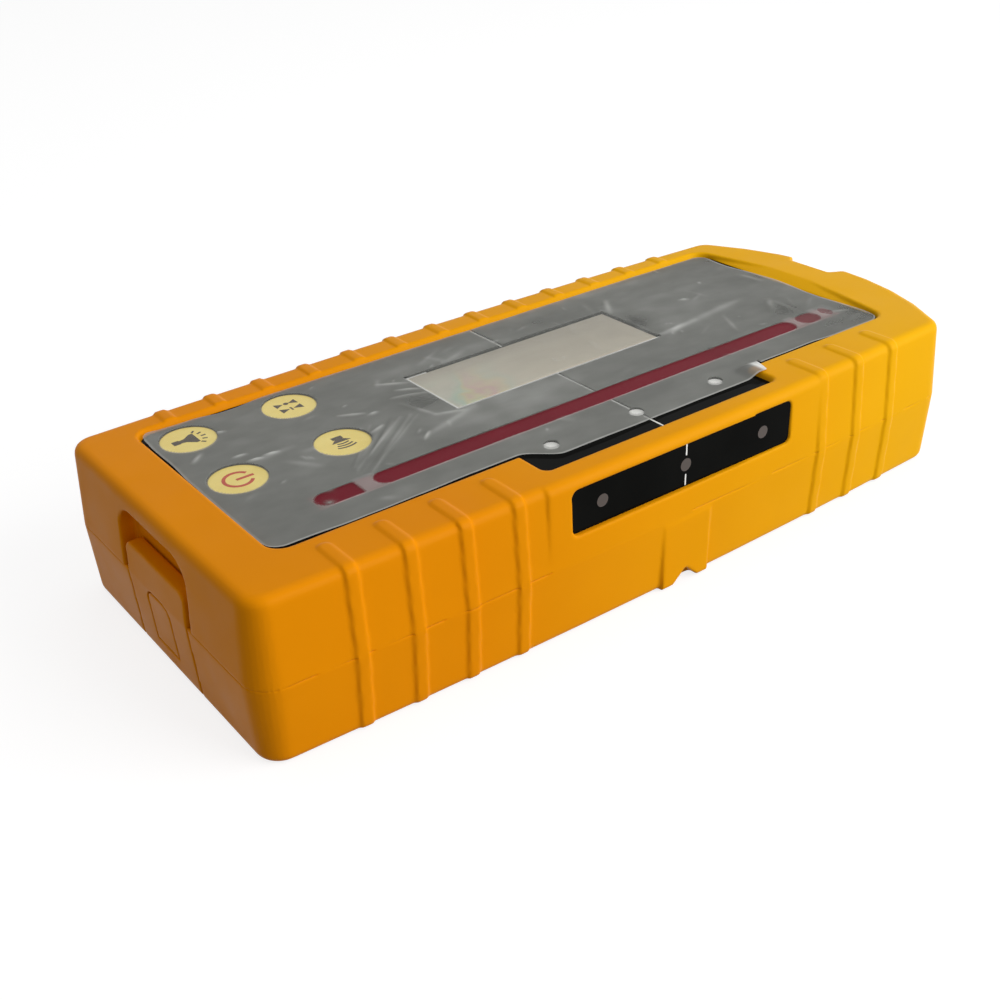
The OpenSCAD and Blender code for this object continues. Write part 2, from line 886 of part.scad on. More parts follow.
module housing_seal() {
    color("dimgray")
        difference() {
            translate([0, 0, seam_z - seal_d])
                linear_extrude(seal_d)
                    difference() {
                        plan_area(seal_in);
                        plan_area(seal_in + seal_w);
                    }
            along_x(-half_l - over, flap_in_x + door_gap)
                flap_area(door_gap);
        }
}

module housing_screws() {
    color(steel)
        for (p = screw_spots)
            translate([p.x, p.y, 0])
                difference() {
                    union() {
                        translate([0, 0, head_z])
                            cylinder(r = head_r, h = head_h);
                        translate([0, 0, head_z + head_h / 2])
                            cylinder(r = screw_r, h = screw_top - head_z - head_h / 2);
                    }
                    translate([0, 0, head_z - slice])
                        cylinder(r = head_r / 2, h = head_h / 2, $fn = 6);
                }
}

module clamp_insert() {
    color("#b98c3c")
        translate([ref_x, 0, 0])
            difference() {
                cylinder(r = insert_r, h = clamp_depth);
                translate([0, 0, -over])
                    cylinder(r = clamp_r, h = clamp_depth + 2 * over);
            }
}

module face_panel() {
    color(black)
        difference() {
            translate([0, 0, panel_z])
                linear_extrude(panel_t)
                    face_area(-seat);
            for (p = key_spots)
                translate([p.x, p.y, panel_z - over])
                    cylinder(r = key_r + key_gap, h = panel_t + 2 * over);
            block([lcd_x - lcd_l / 2, lcd_y - lcd_w / 2, panel_z - over],
                  [lcd_x + lcd_l / 2, lcd_y + lcd_w / 2, panel_top + over]);
            block([filter_x0, filter_y - filter_w / 2, panel_z - over],
                  [filter_x1, filter_y + filter_w / 2, panel_top + over]);
            for (x = face_dots)
                translate([x, dot_y, panel_z - over])
                    cylinder(r = dot_r + seat, h = panel_t + 2 * over);
        }
}

module lcd_window() {
    color("#d9d4c8")
        block([lcd_x - lcd_l / 2 + seat, lcd_y - lcd_w / 2 + seat, panel_z],
              [lcd_x + lcd_l / 2 - seat, lcd_y + lcd_w / 2 - seat, panel_top]);
}

module filter_window() {
    color("#7a1526")
        block([filter_x0 + seat, filter_y - filter_w / 2 + seat, panel_z],
              [filter_x1 - seat, filter_y + filter_w / 2 - seat, panel_top]);
}

module protective_film() {
    m = film_margin;
    color("#b9bdbd", 0.4)
        translate([0, 0, panel_top + film_gap])
            linear_extrude(film_t) {
                rounded_area([face_x0 + m, face_y0 + film_near], [face_x1 - m, face_y1 - m], face_r);
                rounded_area([ref_x - film_lobe, tab_y + film_short],
                             [ref_x + film_lobe, face_y0 + 2 * face_r], tab_r);
            }
}

module face_light_pipes() {
    led_top = board_top + chip_h + lamp_gap;
    color("#e8e4da")
        for (x = face_dots)
            translate([x, dot_y, 0]) {
                translate([0, 0, led_top])
                    cylinder(r = dot_r, h = panel_top - led_top);
                translate([0, 0, panel_z - pipe_flange_t])
                    cylinder(r = dot_r + pipe_flange, h = pipe_flange_t);
            }
}

// One key: a round cap through the panel and a lip under it
module key_cap(spot) {
    color("#efd98a")
        translate([spot.x, spot.y, key_foot]) {
            cylinder(r = key_r, h = panel_top + key_proud - key_foot);
            cylinder(r = key_r + key_lip, h = key_lip_t);
        }
}

module key_torch() { key_cap(key_spots[0]); }
module key_precision() { key_cap(key_spots[1]); }
module key_power() { key_cap(key_spots[2]); }
module key_sound() { key_cap(key_spots[3]); }

module side_panel() {
    color(black)
        difference() {
            along_y(-side_face_y, -side_back_y)
                side_area(seat);
            for (x = side_dots)
                translate([x, -side_back_y + over, side_mid])
                    rotate([90, 0, 0])
                        cylinder(r = side_dot_r + seat, h = side_t + 2 * over);
        }
}

module side_light_pipes() {
    led_y = side_board_y + chip_h + lamp_gap;
    color("#6e5f55")
        for (x = side_dots)
            translate([x, -led_y, side_mid])
                rotate([90, 0, 0]) {
                    cylinder(r = side_dot_r, h = side_face_y - led_y);
                    cylinder(r = side_dot_r + pipe_flange, h = side_back_y - led_y);
                }
}

module side_leds() {
    color("#efece2")
        for (x = side_dots)
            block([x - lamp_l / 2, -side_board_y - chip_h, side_mid - lamp_w / 2],
                  [x + lamp_l / 2, -side_board_y, side_mid + lamp_w / 2]);
}

module side_board() {
    color(green)
        block([ref_x - side_board_half, -side_board_y, side_top - side_h - side_board_skirt],
              [ref_x + side_board_half, -side_board_y + board_t, roof_z - board_clear]);
}

module side_board_header() {
    color(black)
        block([header_x - header_half, -side_board_y + board_t, board_top],
              [header_x + header_half, -board_half + header_lap, roof_z - board_clear]);
}

module main_board() {
    color(green)
        difference() {
            block([board_x0, -board_half, board_z], [board_x1, board_half, board_top]);
            for (p = board_spots)
                translate([p.x, p.y, board_z - over])
                    cylinder(r = board_screw_r + board_hole_gap, h = board_t + 2 * over);
        }
}

module board_screws() {
    color(steel)
        for (p = board_spots)
            translate([p.x, p.y, 0]) {
                translate([0, 0, board_z - board_head_h])
                    cylinder(r = 2 * board_screw_r, h = board_head_h);
                translate([0, 0, board_z - board_head_h / 2])
                    cylinder(r = board_screw_r, h = board_head_h / 2 + board_t + board_screw_bite);
            }
}

// Push switches: the button top stays clear of a key at the end of its travel
module key_switches() {
    color("#2b2d30")
        for (p = key_spots) {
            block([p.x - switch_half, p.y - switch_half, board_top],
                  [p.x + switch_half, p.y + switch_half, board_top + switch_h]);
            translate([p.x, p.y, board_top + switch_h / 2])
                cylinder(r = plunger_r, h = key_foot - key_travel - switch_play - board_top - switch_h / 2);
        }
}

// Box round the display's middle, grown by a margin
module lcd_box(grow, z0, z1) {
    block([lcd_x - lcd_l / 2 - grow, lcd_y - lcd_w / 2 - grow, z0],
          [lcd_x + lcd_l / 2 + grow, lcd_y + lcd_w / 2 + grow, z1]);
}

module lcd_module() {
    color("#bfc2b4")
        lcd_box(lcd_edge - seat, glass_z, panel_z - lcd_lip);
}

module lcd_holder() {
    color("#202224")
        difference() {
            lcd_box(lcd_edge + lcd_frame, board_top, panel_z);
            lcd_box(lcd_edge, board_top - over, panel_z - lcd_lip);
            lcd_box(-lcd_rim, board_top, panel_z + over);
        }
}

module lcd_connectors() {
    color("#d8a2a2")
        for (s = [-1, 1])
            translate([lcd_x - lcd_l / 2, lcd_y + s * (lcd_w / 2 + strip_out) - strip_w / 2, board_top])
                cube([lcd_l, strip_w, glass_z - board_top]);
}

// Box round the red window's middle, grown by a margin
module filter_box(grow, z0, z1) {
    block([filter_x0 - grow, filter_y - filter_w / 2 - grow, z0],
          [filter_x1 + grow, filter_y + filter_w / 2 + grow, z1]);
}

module light_baffle() {
    color("#202224")
        difference() {
            filter_box(baffle_t, board_top, panel_z);
            filter_box(-filter_lap, board_top - over, panel_z + over);
        }
}

module photodiodes() {
    color("#3a3f55")
        for (i = [0 : diode_count - 1]) {
            x = filter_x0 + (i + 0.5) * diode_pitch;
            block([x - diode_l / 2, filter_y - diode_w / 2, board_top],
                  [x + diode_l / 2, filter_y + diode_w / 2, board_top + chip_h]);
        }
}

module face_leds() {
    color("#efece2")
        for (x = face_dots)
            block([x - lamp_l / 2, dot_y - lamp_w / 2, board_top],
                  [x + lamp_l / 2, dot_y + lamp_w / 2, board_top + chip_h]);
}

module buzzer() {
    color("#26282b")
        translate([buzzer_x, buzzer_y, board_z - buzzer_h])
            difference() {
                cylinder(r = buzzer_r, h = buzzer_h);
                translate([0, 0, -over])
                    cylinder(r = buzzer_hole_r, h = over + buzzer_hole_d);
            }
}

module sound_membrane() {
    color("#d4d4d0")
        translate([buzzer_x, buzzer_y, floor_t])
            cylinder(r = membrane_r, h = membrane_t);
}

// A part soldered under the main board
module under_board(x, y, l, w, h) {
    block([x - l / 2, y - w / 2, board_z - h], [x + l / 2, y + w / 2, board_z]);
}

module processor() {
    color(black)
        under_board(ref_x, processor_y, processor_l, processor_l, chip_t);
}

module amplifier_chips() {
    color(black)
        for (i = [0 : amp_count - 1])
            under_board(shield_x + (i - (amp_count - 1) / 2) * amp_pitch, filter_y, amp_l, amp_w, chip_t);
}

module receiver_shield() {
    color(steel)
        difference() {
            under_board(shield_x, filter_y, shield_l, shield_w, shield_h);
            under_board(shield_x, filter_y, shield_l - 2 * shield_t, shield_w - 2 * shield_t,
                        shield_h - shield_t);
        }
}

module crystal() {
    color(steel)
        under_board(crystal_x, crystal_y, crystal_l, crystal_w, crystal_h);
}

module capacitors() {
    color("#30343c")
        for (x = capacitor_xs)
            translate([x, capacitor_y, board_z - capacitor_h])
                cylinder(r = capacitor_r, h = capacitor_h);
}

// Cells lie side by side, turned opposite ways, each with its button end on a flat contact
module battery_cells() {
    color("#6a7078")
        for (s = [-1, 1])
            translate([cell_x0 + (s > 0 ? cell_l : spring_h), s * cell_y, cell_z])
                mirror([s > 0 ? 1 : 0, 0, 0])
                    rotate([0, 90, 0]) {
                        cylinder(r = cell_r, h = cell_l - nub_h);
                        translate([0, 0, cell_l - nub_h])
                            cylinder(r = nub_r, h = nub_h);
                    }
}

// One wide plate joins the cells at the end flap; two at the hinge end carry the leads
module battery_contacts() {
    w = contact_half;
    color(steel) {
        block([bay_x0, -cell_y - w, cell_z - w], [bay_x0 + contact_t, cell_y + w, cell_z + w]);
        for (s = [-1, 1])
            translate([bay_x1 - contact_t, s * cell_y, cell_z]) {
                block([0, -w, -w], [contact_t, w, w]);
                block([0, -lead_w / 2, 0], [contact_t, lead_w / 2, board_z - cell_z]);
            }
    }
}

// Conical contact springs: one tube swept along a tightening coil
function spring_point(t) =
    let (r = spring_r0 + (spring_r1 - spring_r0) * t, a = 360 * spring_turns * t)
        [r * cos(a), r * sin(a), spring_wire / 2 + (spring_h - spring_wire - spring_play) * t];
function spring_ring_points(t) =
    let (p = spring_point(t), a = 360 * spring_turns * t)
        [for (j = [0 : spring_sides - 1])
            let (b = 360 * j / spring_sides, q = spring_wire / 2 * cos(b))
                [p.x + q * cos(a), p.y + q * sin(a), p.z + spring_wire / 2 * sin(b)]];

module contact_spring() {
    n = spring_turns * spring_ring;
    m = spring_sides;
    points = [for (i = [0 : n]) each spring_ring_points(i / n)];
    skin = [for (i = [0 : n - 1]) for (j = [0 : m - 1])
        let (a = i * m + j, b = i * m + (j + 1) % m)
            each [[a, b, b + m], [a, b + m, a + m]]];
    ends = [for (j = [1 : m - 2]) each [[0, j + 1, j], [n * m, n * m + j, n * m + j + 1]]];
    polyhedron(points, concat(skin, ends));
}

module battery_springs() {
    color(steel) {
        translate([bay_x0 + contact_t, -cell_y, cell_z])
            rotate([0, 90, 0])
                contact_spring();
        translate([bay_x1 - contact_t, cell_y, cell_z])
            rotate([0, -90, 0])
                contact_spring();
    }
}

module battery_door() {
    color(yellow)
        difference() {
            union() {
                intersection() {
                    outer_form();
                    union() {
                        block([-body_l, -door_half, -over], [hinge_x, door_half, floor_t]);
                        along_x(-body_l, flap_in_x)
                            flap_area();
                    }
                }
                cross_bar(barrel_r, door_half, hinge_x, hinge_z);
            }
            cross_bar(hinge_r + running, body_w, hinge_x, hinge_z);
            // Outside the flap the end wall stays whole
            for (s = [-1, 1])
                translate([-body_l, s > 0 ? flap_half : -body_w, -over])
                    cube([body_l + flap_in_x + door_gap, body_w - flap_half, 2 * floor_t]);
            along_x(-body_l, flap_in_x + over)
                latch_area(latch_gap);
            cross_bar(latch_pin_r + seat / 2, latch_half + latch_pin_reach, latch_x, latch_z);
        }
}

module door_seal() {
    lap = door_seal_lap;
    color("dimgray")
        difference() {
            block([flap_in_x + door_seal_in, -door_half + seat, floor_t],
                  [bay_x1 + bay_t - lap, door_half - seat, floor_t + door_rise - door_seal_play]);
            block([bay_x0 - lap, -bay_half + lap, floor_t - over],
                  [bay_x1 - lap, bay_half - lap, floor_t + over]);
        }
}

module door_hinge_pin() {
    color(steel)
        cross_bar(hinge_r, door_half + hinge_reach, hinge_x, hinge_z);
}

module battery_latch() {
    color(yellow)
        difference() {
            intersection() {
                outer_form();
                along_x(-body_l, flap_in_x - latch_angle_room)
                    latch_area();
            }
            cross_bar(latch_pin_r + running, body_w, latch_x, latch_z);
        }
}

module latch_pin() {
    color(steel)
        cross_bar(latch_pin_r, latch_half + latch_pin_reach - seat, latch_x, latch_z);
}

front_shell();
rear_shell();
housing_seal();
housing_screws();
clamp_insert();
face_panel();
lcd_window();
filter_window();
protective_film();
face_light_pipes();
key_torch();
key_precision();
key_power();
key_sound();
side_panel();
side_light_pipes();
side_leds();
side_board();
side_board_header();
main_board();
board_screws();
key_switches();
lcd_module();
lcd_holder();
lcd_connectors();
light_baffle();
photodiodes();
face_leds();
buzzer();
sound_membrane();
processor();
amplifier_chips();
receiver_shield();
crystal();
capacitors();
battery_cells();
battery_contacts();
battery_springs();
battery_door();
door_seal();
door_hinge_pin();
battery_latch();
latch_pin();
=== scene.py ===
"""Looks of a handheld laser receiver that lies on its back with a loose film on its face.

Lengths are in millimetres until they reach Blender, which takes metres.
"""

import json
import math
import random

import bmesh
import bpy
import numpy as np
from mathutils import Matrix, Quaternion, Vector, noise


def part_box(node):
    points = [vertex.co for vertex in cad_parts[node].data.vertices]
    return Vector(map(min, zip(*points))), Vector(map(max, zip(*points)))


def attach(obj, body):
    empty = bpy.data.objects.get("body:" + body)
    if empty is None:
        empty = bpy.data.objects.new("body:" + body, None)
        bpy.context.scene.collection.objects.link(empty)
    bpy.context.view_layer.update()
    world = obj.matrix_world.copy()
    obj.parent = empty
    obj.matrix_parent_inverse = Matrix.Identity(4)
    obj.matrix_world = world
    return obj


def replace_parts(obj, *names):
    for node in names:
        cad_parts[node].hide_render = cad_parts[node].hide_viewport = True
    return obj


MM = 0.001
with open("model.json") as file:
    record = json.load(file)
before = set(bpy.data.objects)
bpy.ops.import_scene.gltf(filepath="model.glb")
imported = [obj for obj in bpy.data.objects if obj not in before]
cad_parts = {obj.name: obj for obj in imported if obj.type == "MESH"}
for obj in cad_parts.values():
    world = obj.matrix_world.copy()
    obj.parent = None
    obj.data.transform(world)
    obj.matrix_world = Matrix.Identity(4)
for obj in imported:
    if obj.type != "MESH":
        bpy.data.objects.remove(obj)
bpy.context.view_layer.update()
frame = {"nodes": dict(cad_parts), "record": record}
nodes = frame["nodes"]
bodies = frame["record"]["behaviour"]["bodies"]
body_of = {node: body for body, members in bodies.items() for node in members}
slot_of = {part["node"]: part["material_slot"] for part in frame["record"]["subparts"]}


def corners(node):
    """Lowest and highest corner of a CAD node."""
    low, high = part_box(node)
    return low / MM, high / MM


# Places that the frame gives
face_low, face_high = corners("face_panel")
lcd_low, lcd_high = corners("lcd_window")
bar_low, bar_high = corners("filter_window")
dots_low, dots_high = corners("face_light_pipes")
side_low, side_high = corners("side_panel")
side_dots_low, side_dots_high = corners("side_light_pipes")
film_low, film_high = corners("protective_film")
shell_low, shell_high = corners("front_shell")
ref_x = (dots_low.x + dots_high.x) / 2
dot_y = (dots_low.y + dots_high.y) / 2
side_dot_z = (side_dots_low.z + side_dots_high.z) / 2

# Camera, at the photograph's angle
CAMERA_AT = (-147.271, -183.193, 136.820)
CAMERA_AIM = (-35.355, -18.955, 19.0)
CAMERA_ROLL = -3.0935
CAMERA_LENS = 47.239
CAMERA_SHIFT = (0.03727, 0.02226)

# Colours, linear
YELLOW = (0.81, 0.272, 0.0012)
YELLOW_DEEP = (0.77, 0.255, 0.001)
# Lighter, yellower copies of the yellow: painted light towards the bowed end
YELLOW_PAINTED_LIT = (0.87, 0.440, 0.004)
YELLOW_PAINTED_LIT_DEEP = (0.83, 0.415, 0.003)
BLACK = (0.0022, 0.0024, 0.0020)
BLACK_DUST = (0.0050, 0.0052, 0.0046)
KEY_CREAM = (0.88, 0.71, 0.21)
KEY_DEEP = (0.82, 0.64, 0.16)
# Dark rim on the keys: painted shade at their edges
KEY_RIM_PAINTED_SHADE = (0.16, 0.12, 0.045)
KEY_INK = (0.032, 0.024, 0.014)
POWER_INK = (0.52, 0.070, 0.028)
RED = (0.205, 0.0090, 0.0220)
RED_DEEP = (0.165, 0.0065, 0.0165)
PINK = (0.62, 0.24, 0.25)
WHITE_INK = (0.92, 0.92, 0.88)
LCD_PALE = ((0.78, 0.71, 0.57), (0.88, 0.82, 0.67))
LCD_DULL = ((0.55, 0.485, 0.385), (0.64, 0.575, 0.465))
LCD_DIM = ((0.50, 0.450, 0.370), (0.59, 0.540, 0.450))
# Rainbow on the display, a painted iridescent sheen: share of its reach, colour
RAINBOW_SHEEN = [
    (0.0, (0.74, 0.73, 0.62)), (0.16, (0.61, 0.75, 0.60)), (0.28, (0.81, 0.74, 0.47)),
    (0.42, (0.82, 0.58, 0.53)), (0.56, (0.81, 0.72, 0.49)), (0.72, (0.66, 0.72, 0.59)),
    (1.0, (0.72, 0.66, 0.53)),
]
VEIL = ((0.328, 0.334, 0.308), (0.360, 0.366, 0.340))
# White of the film: partly thick haze, partly painted sheen and glints on creases, edges and the lobe's
# tip
FILM_SHEEN_WHITE = (0.88, 0.885, 0.85)

# Patterns, in millimetres
# Where the painted light on the shell starts and where it is full, along its length
PAINTED_LIGHT_FROM, PAINTED_LIGHT_TO = -45, 65
MOULD_TONE = 26.0
MOULD_SINK, MOULD_SINK_HEIGHT = 32.0, 0.10
MOULD_GRAIN, MOULD_GRAIN_HEIGHT = 0.45, 0.006
TRACK_PITCH = 5.0
CELL_RING = (-42.4, -42.0)
RAINBOW_REACH = 17
RAINBOW_SLANT = 0.25
# Radius of the keys' disc, past which painted shade darkens the rim, and its blur
KEY_DISC = 5.2
KEY_DISC_BLUR = 0.06


class Look:
    """A Principled material whose patterns are measured in millimetres of the object."""

    def __init__(self, name, **values):
        self.material = bpy.data.materials.new(name)
        self.material.use_nodes = True
        self.nodes = self.material.node_tree.nodes
        self.links = self.material.node_tree.links
        self.shader = self.nodes["Principled BSDF"]
        self.place = self.nodes.new("ShaderNodeTexCoord").outputs["Object"]
        self.normal = None
        for socket, value in values.items():
            self.shader.inputs[socket.replace("_", " ")].default_value = value

    def add(self, kind, **inputs):
        """A new node; an input is a value or the socket that feeds it."""
        made = self.nodes.new("ShaderNode" + kind)
        for socket, value in inputs.items():
            target = made.inputs[socket.replace("_", " ")]
            if isinstance(value, bpy.types.NodeSocket):
                self.links.new(value, target)
            else:
                target.default_value = value
        return made

    def clouds(self, size, detail=3.0, stretch=(1, 1, 1)):
        """Soft noise with features of about that size, longer along the stretched axes."""
        scale = [1 / (MM * size * s) for s in stretch]
        place = self.add("Mapping", Vector=self.place, Scale=scale)
        return self.add("TexNoise", Vector=place.outputs[0], Scale=1.0, Detail=detail).outputs[0]

    def span(self, pattern, low, high, start=0.3, end=0.7):
        """The pattern's range from start to end, stretched to run from low to high."""
        made = self.add("MapRange", Value=pattern)
        for socket, value in zip(("From Min", "From Max", "To Min", "To Max"), (start, end, low, high)):
            made.inputs[socket].default_value = value
        return made.outputs[0]

    def mix(self, pattern, first, second):
        """Blend of two colours, each a value or a socket."""
        made = self.nodes.new("ShaderNodeMix")
        made.data_type = "RGBA"
        self.links.new(pattern, made.inputs["Factor"])
        for socket, colour in zip(("A", "B"), (first, second)):
            target = [i for i in made.inputs if i.name == socket and i.type == "RGBA"][0]
            if isinstance(colour, bpy.types.NodeSocket):
                self.links.new(colour, target)
            else:
                target.default_value = (*colour, 1.0)
        return [o for o in made.outputs if o.type == "RGBA"][0]

    def tones(self, first, second, size, detail=3.0, stretch=(1, 1, 1)):
        """Colour that wanders between two tones."""
        return self.mix(self.span(self.clouds(size, detail, stretch), 0, 1), first, second)

    def feed(self, socket, source):
        """Link a socket to an input of the shader."""
        self.links.new(source, self.shader.inputs[socket])
        return self

    def colour(self, first, second, size, detail=3.0, stretch=(1, 1, 1)):
        """Base colour that wanders between two tones."""
        return self.feed("Base Color", self.tones(first, second, size, detail, stretch))

    def roughness(self, low, high, size, stretch=(1, 1, 1)):
        return self.feed("Roughness", self.span(self.clouds(size, 4.0, stretch), low, high))

    def bump(self, pattern, height):
        """Relief of that height on top of any relief so far."""
        made = self.add("Bump", Height=pattern, Distance=height * MM, Strength=1.0)
        if self.normal is not None:
            self.links.new(self.normal, made.inputs["Normal"])
        self.normal = made.outputs[0]
        return self.feed("Normal", self.normal)


def mould(look, rough):
    """Surface of a moulding: slight sink marks and a fine spark-eroded grain."""
    look.roughness(*rough, 9.0)
    look.bump(look.clouds(MOULD_SINK, 1.0), MOULD_SINK_HEIGHT)
    return look.bump(look.clouds(MOULD_GRAIN, 2.0), MOULD_GRAIN_HEIGHT)


def moulded_look(name, first, second, rough):
    """Moulded plastic with slow changes of tone."""
    return mould(Look(name).colour(first, second, MOULD_TONE, 4.0), rough)


def shell_look():
    """Yellow moulding with painted light: lighter and yellower towards the bowed end."""
    look = Look("housing_plastic", Specular_IOR_Level=0.03)
    tone = look.span(look.clouds(MOULD_TONE, 4.0), 0, 1)
    along = look.add("SeparateXYZ", Vector=look.place).outputs["X"]
    deep = look.mix(tone, YELLOW, YELLOW_DEEP)
    painted_lit = look.mix(tone, YELLOW_PAINTED_LIT, YELLOW_PAINTED_LIT_DEEP)
    # Painted light: the lit copy takes over towards the bowed end
    turn = look.span(along, 0, 1, PAINTED_LIGHT_FROM * MM, PAINTED_LIGHT_TO * MM)
    look.feed("Base Color", look.mix(turn, deep, painted_lit))
    return mould(look, (0.32, 0.44))


def gloss_look(name, first, second, **values):
    """Smooth gloss surface with faint smears."""
    look = Look(name, **values).colour(first, second, 18.0)
    look.roughness(0.07, 0.16, 14.0, (2.5, 1, 1))
    return look.bump(look.clouds(20.0, 1.0), 0.02)


def metal_look(name, first, second, stretch=(12, 1, 1)):
    """Plated metal with drawn lines."""
    look = Look(name, Metallic=1.0).colour(first, second, 2.2, 4.0, stretch)
    look.roughness(0.22, 0.42, 1.2, stretch)
    return look.bump(look.clouds(0.5, 2.0, stretch), 0.004)


def board_look():
    """Green solder mask over a mesh of copper tracks."""
    look = Look("board_mask", Roughness=0.38)
    tracks = look.add("TexBrick", Vector=look.place, Scale=1 / (MM * TRACK_PITCH),
                      Mortar_Size=0.05, Mortar_Smooth=0.2)
    track = look.span(tracks.outputs["Fac"], 0, 1, 0.2, 0.8)
    mask = look.tones((0.010, 0.085, 0.030), (0.016, 0.115, 0.042), 12.0)
    look.feed("Base Color", look.mix(track, mask, (0.045, 0.20, 0.070)))
    return look.bump(tracks.outputs["Fac"], 0.02)


def cell_look():
    """Sleeved cell: dark print with a paler ring towards one end."""
    look = Look("cell_sleeve", Metallic=0.35)
    along = look.add("SeparateXYZ", Vector=look.place).outputs["X"]
    ring = look.span(along, 0, 1, CELL_RING[0] * MM, CELL_RING[1] * MM)
    dark = look.tones((0.028, 0.032, 0.038), (0.040, 0.045, 0.052), 14.0)
    look.feed("Base Color", look.mix(ring, dark, (0.42, 0.27, 0.08)))
    return look.roughness(0.24, 0.38, 8.0)


def lcd_look():
    """Display, duller to the right and the far side, with a painted rainbow sheen in its near left
    corner.
    """
    look = Look("display_glass", Roughness=0.16, Specular_IOR_Level=0.06)
    parts = look.add("SeparateXYZ", Vector=look.place).outputs
    tints = (LCD_PALE, LCD_DULL, LCD_DIM)
    pale, dull, dim = (look.tones(*pair, 14.0, 3.0, (3, 1, 1)) for pair in tints)
    to_right = look.span(parts["X"], 0, 1, (lcd_low.x + 14) * MM, (lcd_high.x + 4) * MM)
    to_far = look.span(parts["Y"], 0, 0.9, (lcd_low.y + 4) * MM, lcd_high.y * MM)
    base = look.mix(to_far, look.mix(to_right, pale, dull), dim)
    # Painted rainbow sheen, in slanted bands
    ramp = look.nodes.new("ShaderNodeValToRGB")
    while len(ramp.color_ramp.elements) < len(RAINBOW_SHEEN):
        ramp.color_ramp.elements.new(0.5)
    for element, (position, colour) in zip(ramp.color_ramp.elements, RAINBOW_SHEEN):
        element.position = position
        element.color = (*colour, 1.0)
    slant = look.add("VectorMath", Vector=look.place)
    slant.operation = "DOT_PRODUCT"
    slant.inputs[1].default_value = (1.0, -RAINBOW_SLANT, 0.0)
    first = lcd_low.x - RAINBOW_SLANT * lcd_low.y
    bands = look.span(slant.outputs["Value"], 0, 1, first * MM, (first + RAINBOW_REACH) * MM)
    wobble = look.add("Math", Value=look.span(look.clouds(6.0, 2.0), -0.16, 0.16))
    look.links.new(bands, wobble.inputs[1])
    look.links.new(wobble.outputs[0], ramp.inputs["Fac"])
    near = look.span(parts["Y"], 1.0, 0.0, (lcd_low.y + 4) * MM, (lcd_low.y + 15) * MM)
    fade = look.span(bands, 0, 1, 0.6, 1.0)
    look.feed("Base Color", look.mix(near, base, look.mix(fade, ramp.outputs["Color"], base)))
    return look.bump(look.clouds(6.0, 2.0), 0.01)


def film_look():
    """Clear film: a grey haze where it stands off, and little where it clings; its white is partly
    thick haze and partly painted sheen on creases, edges, the lobe's tip and over the red window.
    """
    look = Look("film_haze", IOR=1.45, Specular_IOR_Level=0.10)
    look.roughness(0.34, 0.48, 5.0, (2, 1, 1))
    haze, whiteness_and_sheen = (look.nodes.new("ShaderNodeAttribute") for _ in range(2))
    haze.attribute_name, whiteness_and_sheen.attribute_name = "haze", "whiteness_and_sheen"
    veil = look.tones(*VEIL, 12.0)
    # Whiter where the attribute says: partly thick haze, partly painted sheen
    look.feed("Base Color", look.mix(whiteness_and_sheen.outputs["Fac"], veil, FILM_SHEEN_WHITE))
    fine = look.span(look.clouds(3.0, 3.0, (1.8, 1, 1)), 0.95, 1.05)
    cover = look.add("Math", Value=haze.outputs["Fac"])
    cover.operation = "MULTIPLY"
    look.links.new(fine, cover.inputs[1])
    look.feed("Alpha", cover.outputs[0])
    return look.bump(look.clouds(7.0, 1.0, (2.2, 1, 1)), 0.01)


def ink_look(name, colour, shade):
    """Screen print with a slightly uneven coat."""
    look = Look(name, Roughness=0.45).colour(colour, shade, 1.6, 4.0)
    return look.bump(look.clouds(0.5, 2.0), 0.003)


def key_look(node):
    """Printed disc on a key, inside a dark rim of painted shade at the key's edge."""
    low, high = corners(node)
    look = Look(node + "_disc_painted_rim")
    far = look.add("VectorMath", Vector=look.place)
    far.operation = "DISTANCE"
    far.inputs[1].default_value = Vector(((low.x + high.x) / 2, (low.y + high.y) / 2, high.z)) * MM
    cream = look.tones(KEY_CREAM, KEY_DEEP, 4.0)
    start, end = KEY_DISC - KEY_DISC_BLUR, KEY_DISC + KEY_DISC_BLUR
    # Painted shade on the key's rim
    shaded_rim = look.span(far.outputs["Value"], 0, 1, start * MM, end * MM)
    look.feed("Base Color", look.mix(shaded_rim, cream, KEY_RIM_PAINTED_SHADE))
    look.roughness(0.30, 0.42, 3.0)
    return look.bump(look.clouds(0.6, 2.0), 0.006)


looks = {
    "shell": shell_look(),
    "face": gloss_look("face_gloss", BLACK, BLACK_DUST, Specular_IOR_Level=0.015),
    "side_glass": gloss_look("side_gloss", BLACK, BLACK_DUST, Specular_IOR_Level=0.015),
    "display_window": lcd_look(),
    "red_window": gloss_look("red_filter", RED, RED_DEEP, Specular_IOR_Level=0.02),
    "light_pipe": moulded_look("pipe_white", (0.93, 0.93, 0.89), (0.86, 0.86, 0.82), (0.2, 0.3)),
    "side_light_pipe": moulded_look(
        "pipe_smoked", (0.058, 0.040, 0.031), (0.048, 0.033, 0.025), (0.2, 0.3)),
    "seal": moulded_look("rubber", (0.020, 0.020, 0.021), (0.032, 0.032, 0.033), (0.6, 0.8)),
    "steel": metal_look("plated_steel", (0.56, 0.57, 0.58), (0.68, 0.69, 0.70)),
    "brass": metal_look("turned_brass", (0.58, 0.40, 0.14), (0.68, 0.48, 0.19), stretch=(1, 1, 8)),
    "board": board_look(),
    "component": moulded_look(
        "black_package", (0.013, 0.013, 0.014), (0.022, 0.022, 0.023), (0.4, 0.6)),
    "display": gloss_look("display_cell", (0.40, 0.41, 0.36), (0.46, 0.47, 0.41)),
    "led": gloss_look("led_lens", (0.74, 0.73, 0.66), (0.80, 0.79, 0.72)),
    "cell": cell_look(),
    "membrane": moulded_look("pale_felt", (0.58, 0.58, 0.55), (0.68, 0.68, 0.65), (0.7, 0.9)),
}
looks["door"] = looks["shell"]
looks["film"] = film_look()
